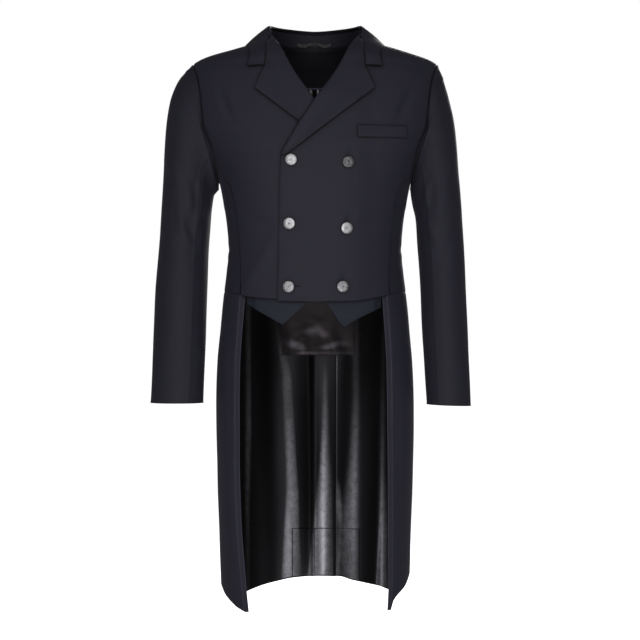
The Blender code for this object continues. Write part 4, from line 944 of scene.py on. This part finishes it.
part = (curl_turn * (1 - np.arange(curl_columns) / curl_columns)[None, :])[..., None]
down = unit(fall[:, 1:2] - fall[:, :1])
edge_normal = fall_normal[:, :1]
centre = fall[:, :1] - edge_normal * CURL_RADIUS
slip = 0.00003 * np.arange(curl_columns, 0, -1)[None, :, None]


def collar_curl(depth):
    reach = CURL_RADIUS - depth
    return centre - down * (reach * np.sin(part) + slip) + edge_normal * reach * np.cos(part)


outer = np.concatenate([collar_curl(0.0), fall], axis=1)
inner = np.concatenate([collar_curl(CLOTH), fall - fall_normal * CLOTH], axis=1)
piece = thick_cloth("collar_fall_cloth", outer, inner, edged_twill)
dressed(piece, "collar_fall")

fold_height = smooth_curve([(row[0], row[1]) for row in COLLAR])
angle = np.linspace(82.0, 278.0, 120)[None, :]
own_angle = np.where(angle > 180.0, 360.0 - angle, angle)
stand_rows = spread(14, 0.025, (0.0008, 0.002))[:, None]
z = between(NECK_SEAM + GAP / 2, fold_height(own_angle) - 0.0064, stand_rows)
angle = angle + 0 * z
# The stand is the navy at half its colour, painted shade inside the neck.
stand_twill_shaded = twill_finish("stand_twill_shaded", tuple(0.5 * c for c in CLOTH_COLOUR), sheen=0.02)
piece = body_cloth("collar_stand_cloth", angle, z, stand_twill_shaded, 0.0, dip=0.0003)
dressed(piece, "collar_stand")

# Inside the neck. A half-moon of the cloth faces the back neck, with the lining of the back below it. The
# lining is a glossy satin with a pleat down its centre, and a bare wavy ribbon for hanging is sewn across the
# neck seam.
LINING = 0.0010
LINING_LIFT = -(CLOTH + 0.0008)
LINING_SPLIT = -0.467
LINING_COLOUR = (0.0080, 0.0079, 0.0088)
# Colour of the painted highlights on the tail linings
PAINTED_HIGHLIGHT_COLOUR = (0.125, 0.122, 0.134)
VENT_SHADE, VENT_SHADE_WIDTH = 0.0375, 0.0040
# Painted highlight line along the vent's edge: x, width
VENT_GLINT, VENT_GLINT_WIDTH = 0.0425, 0.0010
POCKET_TOP, POCKET_LEFT, POCKET_RIGHT = -0.927, -0.046, 0.087
POCKET_UPRIGHTS = (-0.0445, -0.0005, 0.086)
POCKET_SEAM = 0.0009


def facing_edge(angle):
    return -0.0085 - 0.0590 * np.cos(np.radians(np.minimum(np.abs(180.0 - angle) * 1.22, 90.0))) ** 0.8


def satin_finish(name, colour, roughness, grain=0.55, highlight_colour=None, pocket=False):
    """Lining satin, a half metallic layer as dark as the colour given.

    Where a stored painted light attribute is above zero, the colour is mixed towards the highlight colour as
    painted highlights along the crests of the flutes, and where it is below zero the colour is darkened as
    painted shade in deep folds. Without a highlight colour, broad noise makes the colour uneven instead. The
    weave gives a fine uneven grain, and the linings of the tails have pocket stitching, a painted shade line
    beside the vent where the painted highlights are taken out, and a painted highlight along the vent's edge.
    """
    material = bpy.data.materials.new(name)
    material.use_nodes = True
    tree = material.node_tree
    shader = tree.nodes["Principled BSDF"]
    shader.inputs["Metallic"].default_value = 0.5
    shader.inputs["Specular IOR Level"].default_value = 0.0
    where = tree.nodes.new("ShaderNodeTexCoord")
    place = tree.nodes.new("ShaderNodeSeparateXYZ")
    tree.links.new(where.outputs["Object"], place.inputs[0])
    fine = new_node(tree, "ShaderNodeTexNoise", Scale=620.0, Detail=4.0, Roughness=0.65)
    broad = new_node(tree, "ShaderNodeTexNoise", Scale=26.0, Detail=3.0, Roughness=0.55)
    stretch = tree.nodes.new("ShaderNodeMapping")
    stretch.inputs["Scale"].default_value = (1.0, 1.0, 0.22)
    tree.links.new(where.outputs["Object"], fine.inputs["Vector"])
    tree.links.new(where.outputs["Object"], stretch.inputs["Vector"])
    tree.links.new(stretch.outputs["Vector"], broad.inputs["Vector"])
    rough = maths(tree, "ADD", maths(tree, "MULTIPLY", fine.outputs["Fac"], 0.12), roughness - 0.05)
    rumpled = maths(tree, "MULTIPLY", broad.outputs["Fac"], 3.0 if highlight_colour else 0.9)
    relief = maths(tree, "ADD", maths(tree, "MULTIPLY", fine.outputs["Fac"], grain), rumpled)
    tone = tree.nodes.new("ShaderNodeMix")
    tone.data_type = "RGBA"
    tone.inputs["A"].default_value = (*colour, 1.0)
    tone.inputs["B"].default_value = (*(highlight_colour or tuple(1.6 * c for c in colour)), 1.0)
    mottle_and_highlight = broad.outputs["Fac"]
    # Painted highlights: where the stored painted light is above zero, the colour is mixed towards the
    # highlight colour.
    if highlight_colour:
        painted_light = tree.nodes.new("ShaderNodeAttribute")
        painted_light.attribute_name = "painted_light"
        patchy = new_node(tree, "ShaderNodeTexNoise", Scale=75.0, Detail=5.0, Roughness=0.75)
        tree.links.new(where.outputs["Object"], patchy.inputs["Vector"])
        mottle = maths(tree, "ADD", fine.outputs["Fac"], patchy.outputs["Fac"])
        uneven = maths(tree, "SUBTRACT", maths(tree, "MULTIPLY", mottle, 2.0), 1.05)
        mottle_and_highlight = maths(tree, "MULTIPLY", painted_light.outputs["Fac"], uneven)
    if pocket:
        across, height = place.outputs["X"], place.outputs["Z"]
        after_left = maths(tree, "GREATER_THAN", across, POCKET_LEFT)
        inside = maths(tree, "MULTIPLY", after_left, maths(tree, "LESS_THAN", across, POCKET_RIGHT))
        lines = maths(tree, "MULTIPLY", soft_line(tree, height, POCKET_TOP, POCKET_SEAM), inside)
        under = maths(tree, "LESS_THAN", height, POCKET_TOP)
        for upright in POCKET_UPRIGHTS:
            seam = maths(tree, "MULTIPLY", soft_line(tree, across, upright, POCKET_SEAM), under)
            lines = maths(tree, "MAXIMUM", lines, seam)
        relief = maths(tree, "SUBTRACT", relief, maths(tree, "MULTIPLY", lines, 7.0))
        vent = maths(tree, "MULTIPLY", soft_line(tree, across, VENT_SHADE, VENT_SHADE_WIDTH), 2.0)
        dark = maths(tree, "MAXIMUM", lines, maths(tree, "MINIMUM", vent, 1.0))
        mottle_and_highlight = maths(tree, "MULTIPLY", mottle_and_highlight, maths(tree, "SUBTRACT", 1.0, dark))
        # Painted highlight along the vent's edge.
        vent_glint = soft_line(tree, across, VENT_GLINT, VENT_GLINT_WIDTH)
        mottle_and_highlight = maths(tree, "ADD", mottle_and_highlight, maths(tree, "MULTIPLY", vent_glint, 0.5))
    tree.links.new(mottle_and_highlight, tone.inputs["Factor"])
    # Painted shade: where the stored painted light is below zero, the colour is darkened.
    if highlight_colour:
        fold_shade_scale = maths(tree, "MINIMUM", maths(tree, "ADD", painted_light.outputs["Fac"], 1.0), 1.0)
        tree.links.new(scaled(tree, tone.outputs["Result"], fold_shade_scale), shader.inputs["Base Color"])
    else:
        tree.links.new(tone.outputs["Result"], shader.inputs["Base Color"])
    tree.links.new(rough, shader.inputs["Roughness"])
    bump = new_node(tree, "ShaderNodeBump", Strength=0.5, Distance=0.00022)
    tree.links.new(relief, bump.inputs["Height"])
    tree.links.new(bump.outputs["Normal"], shader.inputs["Normal"])
    return material


def store_painted_light(piece, painted_values):
    """Stores the painted light of each point of a sheet's two faces: painted highlight above zero, painted
    shade below zero where it lies in a deep fold.
    """
    layer = piece.data.attributes.new("painted_light", "FLOAT", "POINT")
    layer.data.foreach_set("value", np.tile(painted_values.ravel(), 2).astype(np.float32))


def across_back(share, z):
    """An angle that stays inside both backs."""
    half = between(back_outer_edge(z), 180.0, 0.09 + 0.91 * np.minimum(share, 1 - share) * 2)
    return np.where(share <= 0.5, half, 360.0 - half)


shares = spread(96, 0.3)[None, :]
facing_rows = spread(40, 0.07)[:, None]
top_angle = across_back(shares, np.full(shares.shape, -0.030))
z = between(facing_edge(top_angle), NECK_SEAM - GAP, facing_rows)
angle = across_back(shares + 0 * z, z)
# The half-moon is the navy darkened to 0.28, painted shade inside the neck.
facing_shaded_colour = tuple(0.28 * c for c in CLOTH_COLOUR)
# A light line along the half-moon's lower edge is a painted highlight on its binding.
facing_twill = twill_finish("facing_twill", facing_shaded_colour, sheen=0.01, strip=("Y", 30.0, 0.0018, (0.0014,)))
piece = body_cloth("neck_facing_cloth", angle, z, facing_twill, LINING_LIFT, LINING, dip=0.0)
dressed(piece, "neck_facing")

PLEAT_X = -0.002
PLEAT_WIDTH = 0.0045
# Its lighter colour is for the painted highlights beside the pleat.
satin = satin_finish("black_satin", LINING_COLOUR, 0.50, highlight_colour=(0.45, 0.44, 0.46))
shares = np.concatenate([np.linspace(0, 0.44, 40), np.linspace(0.445, 0.555, 40), np.linspace(0.56, 1, 40)])
shares = shares[None, :]
rows = spread(90, 0.42)[:, None]
top_angle = across_back(shares, np.full(shares.shape, -0.030))
z = between(LINING_SPLIT + GAP / 2, facing_edge(top_angle) - GAP, rows)
angle = across_back(shares + 0 * z, z)
x = body_point(angle, z)[..., 0]
pleat = -0.0030 * np.exp(-(((x - PLEAT_X) / PLEAT_WIDTH) ** 2))
pleat = pleat + 0.0018 * np.exp(-(((np.abs(x - PLEAT_X) - 0.0075) / 0.004) ** 2))
lift = LINING_LIFT - pleat - 0.0018 + drape(x, z, 0.0006, 31)
piece = body_cloth("back_lining_cloth", angle, z, satin, lift, LINING, dip=0.0)
# Painted highlights on the satin beside the pleat, fading out downwards.
pleat_highlights = np.exp(-(((x + 0.0083) / 0.0024) ** 4)) + np.exp(-(((x - 0.0052) / 0.0020) ** 4))
store_painted_light(piece, pleat_highlights * ease((z + 0.150) / 0.06))
dressed(piece, "back_lining")

LOOP_LEFT, LOOP_RIGHT, LOOP_LOW, LOOP_HIGH, LOOP_WAVE = -0.035, 0.031, 0.0100, 0.0155, 0.0022
ribbon_finish = twill_finish("ribbon_weave", (0.026, 0.024, 0.024), sheen=0.35)
share = np.linspace(0, 1, 72)[None, :]
x = between(LOOP_LEFT, LOOP_RIGHT, share)
wave = LOOP_WAVE * np.sin(np.pi * share) * (1.2 + 1.3 * np.sin(6.3 * np.pi * share + 0.6))
z = between(LOOP_LOW, LOOP_HIGH, np.linspace(0, 1, 6)[:, None]) - 0.0020 * np.sin(3 * np.pi * share)
x = x + 0 * z
angle = back_angle(x, z)
piece = body_cloth("hanger_loop_cloth", angle, z, ribbon_finish, -(CLOTH + 0.0008) - wave, 0.0008, dip=0.0)
dressed(piece, "hanger_loop")

# The lining of the tails. Each tail has its own, in the same glossy black, hemmed just above the cloth's
# hem. It hangs in long soft flutes, and lines of stitching near the hem hold flat weights.
# How far the lining falls away from the tails at the hem: x, distance
LINING_FALL = (
    (-0.155, 0.0), (-0.125, 0.0020), (-0.090, 0.0050), (-0.062, 0.0040), (-0.045, 0.0052), (-0.030, 0.0075),
    (-0.012, 0.0090), (0.006, 0.0075), (0.019, 0.0066), (0.034, 0.0062), (0.050, 0.0045), (0.066, 0.0060),
    (0.080, 0.0064), (0.100, 0.0083), (0.127, 0.0130), (0.135, 0.0070), (0.143, 0.0020), (0.155, 0.0),
)
# Painted highlights along the crests of the flutes: height, x, half width, strength
PAINTED_HIGHLIGHTS = (
    ((-0.500, -0.0860, 0.0070, 0.16), (-0.562, -0.0770, 0.0085, 0.15), (-0.600, -0.0640, 0.0100, 0.13),
     (-0.623, -0.0560, 0.0115, 0.13), (-0.704, -0.0520, 0.0110, 0.22),
     (-0.791, -0.0480, 0.0085, 0.50), (-0.860, -0.0455, 0.0100, 0.75), (-0.928, -0.0490, 0.0120, 0.80),
     (-1.015, -0.0510, 0.0150, 0.70)),
    ((-0.600, 0.0200, 0.0040, 0.0), (-0.660, 0.0205, 0.0050, 0.12), (-0.733, 0.0215, 0.0065, 0.30),
     (-0.811, 0.0205, 0.0110, 0.65), (-0.869, 0.0180, 0.0150, 0.90), (-0.937, 0.0140, 0.0180, 1.0),
     (-1.015, 0.0110, 0.0220, 1.0)),
    ((-0.530, 0.0800, 0.0060, 0.14), (-0.675, 0.0815, 0.0060, 0.18), (-0.791, 0.0760, 0.0080, 0.40),
     (-0.869, 0.0715, 0.0105, 0.75), (-0.918, 0.0680, 0.0130, 0.85), (-1.015, 0.0670, 0.0150, 0.60)),
    ((-0.830, 0.0470, 0.0030, 0.0), (-0.880, 0.0500, 0.0055, 0.80), (-0.925, 0.0540, 0.0060, 0.50),
     (-1.015, 0.0480, 0.0040, 0.60)),
    ((-0.640, 0.1360, 0.0040, 0.04), (-0.811, 0.1360, 0.0050, 0.20), (-0.928, 0.1380, 0.0075, 0.40),
     (-1.035, 0.1360, 0.0090, 0.40)),
    ((-0.640, -0.1320, 0.0050, 0.30), (-0.733, -0.1325, 0.0055, 0.50), (-0.870, -0.1350, 0.0040, 0.30),
     (-1.000, -0.1340, 0.0030, 0.10)),
)
# Painted shade in the deep folds between the flutes: height, x, half width, darkness
PAINTED_FOLD_SHADE = (
    ((-0.560, -0.0220, 0.0190, 0.55), (-0.600, -0.0220, 0.0190, 0.70), (-0.800, -0.0180, 0.0170, 0.75),
     (-0.930, -0.0200, 0.0100, 0.70), (-0.990, -0.0210, 0.0060, 0.50), (-1.020, -0.0210, 0.0050, 0.0)),
    ((-0.500, -0.1020, 0.0160, 0.50), (-0.550, -0.1000, 0.0200, 0.65), (-0.750, -0.0950, 0.0240, 0.70),
     (-0.930, -0.0880, 0.0260, 0.60), (-1.030, -0.0850, 0.0260, 0.30)),
)
lining_fall = smooth_curve(LINING_FALL)


def streaks(x, z, table):
    """Soft upright streaks from 0 to 1."""
    strongest = np.zeros(x.shape)
    for streak in table:
        heights, places, widths, strengths = (np.array(row)[::-1] for row in zip(*streak))
        off = (x - np.interp(z, heights, places)) / np.interp(z, heights, widths)
        strongest = np.maximum(strongest, np.interp(z, heights, strengths) * np.exp(-np.abs(off) ** 2.6))
    return strongest


HEM_BAND = 0.0035
tail_satin = satin_finish("tail_satin", LINING_COLOUR, 0.34, highlight_colour=PAINTED_HIGHLIGHT_COLOUR, pocket=True)
for side, word in ((1, "left"), (-1, "right")):
    rows = spread(120, 0.55)[:, None]
    shares = spread(110, 0.35)[None, :]
    z = between(-1.02, LINING_SPLIT - 0.0012, rows) + 0 * shares
    for _ in range(2):
        start = front_angle(tail_fold_x(side, z) + 0.0022, z)
        angle = between(start, centre_edge(side, z, 0.0008), shares)
        low = tail_hem(side, angle) + HEM_BAND
        high = np.minimum(LINING_SPLIT, waist_hem(np.minimum(angle, 142.0)) - 0.0012) - GAP
        z = between(low, high, rows)
    x = body_point(side * angle, z)[..., 0]
    behind = ease(-np.cos(np.radians(angle)) / 0.4)
    fall = np.clip((-0.47 - z) / 0.55, 0.0, 1.0)
    drift = 0.010 * (1 - fall) * np.sign(x + 0.001) + 0.002 * np.sin(13 * z)
    folds = -lining_fall(x - drift) * (0.22 + 0.78 * fall) - 0.0006
    lift = LINING_LIFT + vent_dip(side, x, z) + folds * behind + drape(x, 0.4 * z, 0.0003, 40) * behind
    piece = body_cloth(f"tail_lining_{word}_cloth", side * angle, z, tail_satin, lift, LINING, dip=0.0)
    # Painted light on the tail linings: highlights along the flute crests, shade in the deep folds.
    store_painted_light(piece, streaks(x, z, PAINTED_HIGHLIGHTS) - streaks(x, z, PAINTED_FOLD_SHADE))
    dressed(piece, f"tail_lining_{word}")

# The mock waistcoat. Two pointed corners in a slightly bluer navy are sewn behind the front hem, and a
# black satin flap hangs behind them, hemmed along its bottom.
POINT_GAP = 0.0023
POINT_TOP = -0.447
# Lower outlines from the wearer's right to the left: x, height
POINT_RIGHT = (
    (-0.1320, -0.4890), (-0.0937, -0.5100), (-0.0613, -0.5278), (-0.0380, -0.5080), (-0.0151, -0.4879),
)
POINT_LEFT = (
    (0.0222, -0.4879), (0.0341, -0.5053), (0.0460, -0.5227), (0.0561, -0.5318), (0.0771, -0.5190),
    (0.0990, -0.5085), (0.1290, -0.4955),
)
waistcoat_twill = twill_finish("waistcoat_twill", (0.0098, 0.0112, 0.0185), stitch=0.004, seam=0.7)
for word, outline, flat, area in (
    ("right", POINT_RIGHT, (0.112, 0.082), 0.0070), ("left", POINT_LEFT, (0.102, 0.086), 0.0067),
):
    corners, lows = zip(*outline)
    runs = [np.linspace(a, b, 10, endpoint=False) for a, b in zip(corners, corners[1:])]
    x = np.concatenate(runs + [[corners[-1]]])
    low = np.interp(x, corners, lows)[None, :]
    z = between(low, POINT_TOP, spread(22, 0.06)[:, None])
    x = x[None, :] + 0 * z
    lift = -(CLOTH + POINT_GAP) - 0.0060 * ease((POINT_TOP - z) / 0.075) + drape(x, z, 0.0003, 50)
    lift = lift - 0.0050 * ease((np.abs(x) - 0.112) / 0.012)
    angle = front_angle(x, z)
    piece = body_cloth(f"waistcoat_point_{word}_cloth", angle, z, waistcoat_twill, lift, LINING, dip=0.0003)
    dressed(piece, f"waistcoat_point_{word}")

FLAP_LEFT, FLAP_RIGHT, FLAP_TOP, FLAP_BOTTOM = -0.0640, 0.0785, -0.452, -0.584
FLAP_CREASES = (
    (((-0.050, -0.578), (-0.024, -0.556), (0.004, -0.548)), -0.0022, 0.0090),
    (((-0.040, -0.548), (-0.010, -0.536), (0.024, -0.540)), 0.0018, 0.0085),
    (((0.064, -0.574), (0.046, -0.552), (0.034, -0.530)), -0.0020, 0.0085),
    (((-0.012, -0.500), (0.006, -0.512), (0.026, -0.508)), 0.0014, 0.0100),
)
# Painted highlights on the flap: line (x, z), strength, half width
FLAP_HIGHLIGHTS = (
    (((-0.0276, -0.5473), (0.0040, -0.5358), (0.0290, -0.5557)), 0.55, 0.0085),
    (((-0.0560, -0.5590), (-0.0255, -0.5694), (-0.0150, -0.5780)), 0.90, 0.0075),
    (((-0.0003, -0.5714), (0.0269, -0.5690), (0.0457, -0.5620), (0.0667, -0.5641)), 0.60, 0.0060),
    (((-0.0640, -0.5795), (0.0000, -0.5800), (0.0765, -0.5795)), 0.70, 0.0022),
)
flap_colour, flap_highlight_colour = (0.0085, 0.0074, 0.0080), (0.042, 0.038, 0.044)
flap_satin = satin_finish("flap_satin", flap_colour, 0.42, grain=0.20, highlight_colour=flap_highlight_colour)
share = spread(64, 0.13)[None, :]
rows = spread(60, 0.13)[:, None]
x = between(FLAP_LEFT, FLAP_RIGHT, share) + 0 * rows
z = between(FLAP_BOTTOM, FLAP_TOP, rows) + 0 * share
sag = 0.0110 * ease((FLAP_TOP - z) / 0.10)
wave = 0.0009 * np.sin(9 * x / 0.06 + 30 * z) * ease((-0.50 - z) / 0.05)
hem_line = -0.0006 * np.exp(-(((z - FLAP_BOTTOM - 0.008) / 0.0012) ** 2))
lift = 0.6 * crease_height(x, z, FLAP_CREASES) - (CLOTH + POINT_GAP + LINING + 0.0008) - sag + wave + hem_line
piece = body_cloth("inner_flap_cloth", front_angle(x, z), z, flap_satin, lift, LINING, dip=0.0003)
# Painted highlights on the flap's satin.
store_painted_light(piece, np.clip(crease_height(x, z, FLAP_HIGHLIGHTS), 0.0, 1.0))
dressed(piece, "inner_flap")

# The breast pocket. A welt of the cloth, stitched down at both ends, stands over the slit on the wearer's
# left. It is nearly level, and its outer end is a little higher.
WELT_THICKNESS = 0.0012
WELT_INNER, WELT_OUTER, WELT_HEIGHT = 0.077, 0.169, 0.0226
share = spread(54, 0.09)[None, :]
rows = spread(20, 0.024, (0.0006, 0.0014))[:, None]
x = between(WELT_INNER, WELT_OUTER, share) + 0 * rows
z = between(-0.1868, -0.1852, share) + WELT_HEIGHT * rows
lift = left_front_lift(x, z) + 0.0017 + 0.0002 * np.sin(np.pi * rows) + crease_height(x, z, FRONT_CREASES)
piece = body_cloth("breast_welt_cloth", front_angle(x, z), z, edged_twill, lift, WELT_THICKNESS, dip=0.0004)
dressed(piece, "breast_welt")

# The buttons. Six slightly domed metal buttons with a thin raised rim are sewn to the left front on short
# shanks. They are silver, and some are darker than others.
# Name, x, height, darkening
BUTTONS = (
    ("button_right_top", -0.0427, -0.2283, 0.20), ("button_right_middle", -0.0461, -0.3429, 0.05),
    ("button_right_bottom", -0.0476, -0.4581, 0.45), ("button_left_top", 0.0602, -0.2323, 0.92),
    ("button_left_middle", 0.0575, -0.3511, 0.12), ("button_left_bottom", 0.0503, -0.4580, 0.55),
)
BUTTON_RADIUS = 0.0103
BUTTON_PLATE = 0.0012
SHANK_RADIUS = 0.0030
# Steps of the button's face from the rim to the middle: inset, rise
FACE_STEPS = (
    (0.0005, 0.0003), (0.0006, 0.0), (0.0004, -0.0004), (0.0014, 0.00030), (0.0022, 0.00028),
    (0.0022, 0.00014), (0.0022, 0.00004),
)


def button_finish():
    material = bpy.data.materials.new("aged_silver")
    material.use_nodes = True
    tree = material.node_tree
    shader = tree.nodes["Principled BSDF"]
    shader.inputs["Metallic"].default_value = 1.0
    where = tree.nodes.new("ShaderNodeTexCoord")
    mottle = new_node(tree, "ShaderNodeTexNoise", Scale=260.0, Detail=4.0, Roughness=0.6)
    tree.links.new(where.outputs["Object"], mottle.inputs["Vector"])
    button_darkening = tree.nodes.new("ShaderNodeAttribute")
    button_darkening.attribute_name = "button_darkening"
    tone = tree.nodes.new("ShaderNodeMix")
    tone.data_type = "RGBA"
    tone.inputs["A"].default_value = (0.29, 0.29, 0.30, 1.0)
    tone.inputs["B"].default_value = (0.060, 0.060, 0.064, 1.0)
    # Some buttons get a darker colour than others, by their stored share.
    darkening_share = maths(tree, "ADD", button_darkening.outputs["Fac"], maths(tree, "MULTIPLY", mottle.outputs["Fac"], 1.1))
    tree.links.new(maths(tree, "SUBTRACT", darkening_share, 0.50), tone.inputs["Factor"])
    tree.links.new(tone.outputs["Result"], shader.inputs["Base Color"])
    rough = maths(tree, "ADD", maths(tree, "MULTIPLY", mottle.outputs["Fac"], 0.20), 0.36)
    tree.links.new(rough, shader.inputs["Roughness"])
    bump = new_node(tree, "ShaderNodeBump", Strength=0.25, Distance=0.0003)
    tree.links.new(mottle.outputs["Fac"], bump.inputs["Height"])
    tree.links.new(bump.outputs["Normal"], shader.inputs["Normal"])
    return material


def make_button(material):
    """Models one button at the origin, its dome along +Z."""
    bpy.ops.object.select_all(action="DESELECT")
    bpy.ops.mesh.primitive_cylinder_add(
        vertices=40, radius=BUTTON_RADIUS, depth=BUTTON_PLATE, location=(0, 0, BUTTON_PLATE * 1.5),
    )
    button = bpy.context.active_object
    bpy.ops.object.mode_set(mode="EDIT")
    bpy.ops.mesh.select_all(action="DESELECT")
    bpy.ops.object.mode_set(mode="OBJECT")
    for face in button.data.polygons:
        face.select = face.normal.z > 0.9
    bpy.ops.object.mode_set(mode="EDIT")
    for inset, rise in FACE_STEPS:
        bpy.ops.mesh.inset(thickness=inset)
        bpy.ops.transform.translate(value=(0, 0, rise))
    bpy.ops.object.mode_set(mode="OBJECT")
    for face in button.data.polygons:
        face.select = face.normal.z < -0.9
    bpy.ops.object.mode_set(mode="EDIT")
    bpy.ops.mesh.inset(thickness=BUTTON_RADIUS - SHANK_RADIUS)
    bpy.ops.mesh.extrude_region_move(TRANSFORM_OT_translate={"value": (0, 0, -0.0010)})
    bpy.ops.object.mode_set(mode="OBJECT")
    bpy.ops.object.transform_apply(location=True, rotation=True, scale=True)
    button.data.materials.clear()
    button.data.materials.append(material)
    button.data.shade_smooth()
    button.data.set_sharp_from_angle(angle=math.radians(35))
    return button


pattern_button = make_button(button_finish())
for name, x, z, button_darkening in BUTTONS:
    place_x, place_z = np.array(x), np.array(z)
    angle = front_angle(place_x, place_z)
    normal = Vector(body_normal(angle, place_z))
    seat = Vector(body_point(angle, place_z)) + normal * (float(left_front_lift(place_x, place_z)) + 0.0006)
    button = bpy.data.objects.new(name + "_metal", pattern_button.data.copy())
    turn = normal.to_track_quat("Z", "Y").to_matrix().to_4x4()
    turn.translation = seat
    button.data.transform(turn)
    layer = button.data.attributes.new("button_darkening", "FLOAT", "POINT")
    layer.data.foreach_set("value", np.full(len(button.data.vertices), button_darkening, np.float32))
    scene.collection.objects.link(button)
    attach(button, "root")
    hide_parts(name)
bpy.data.objects.remove(pattern_button, do_unlink=True)

# The buttonhole that shows. A short worked slit in the left front, beside the lowest button of the right
# column, with raised thread round it.
HOLE_LEFT, HOLE_RIGHT, HOLE_Z, HOLE_HEIGHT = -0.0372, -0.0262, -0.4572, 0.0018
share = np.linspace(0, 1, 12)[None, :]
rows = np.linspace(0, 1, 5)[:, None]
x = between(HOLE_LEFT, HOLE_RIGHT, share) + 0 * rows
z = HOLE_Z + HOLE_HEIGHT * (rows - 0.5) * np.sin(np.pi * np.clip(share, 0.12, 0.88)) ** 0.4
lift = left_front_lift(x, z) + 0.0003 * np.sin(np.pi * rows) + 0.0002 + 0 * x
# The thread is dark, and its near-black colour is also painted shade standing in for the slit.
thread_finish = twill_finish("buttonhole_thread", (0.0012, 0.0012, 0.0018), sheen=0.0)
buttonhole = body_cloth("buttonhole_thread", front_angle(x, z), z, thread_finish, lift, 0.0004, dip=0.0)
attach(buttonhole, "root")
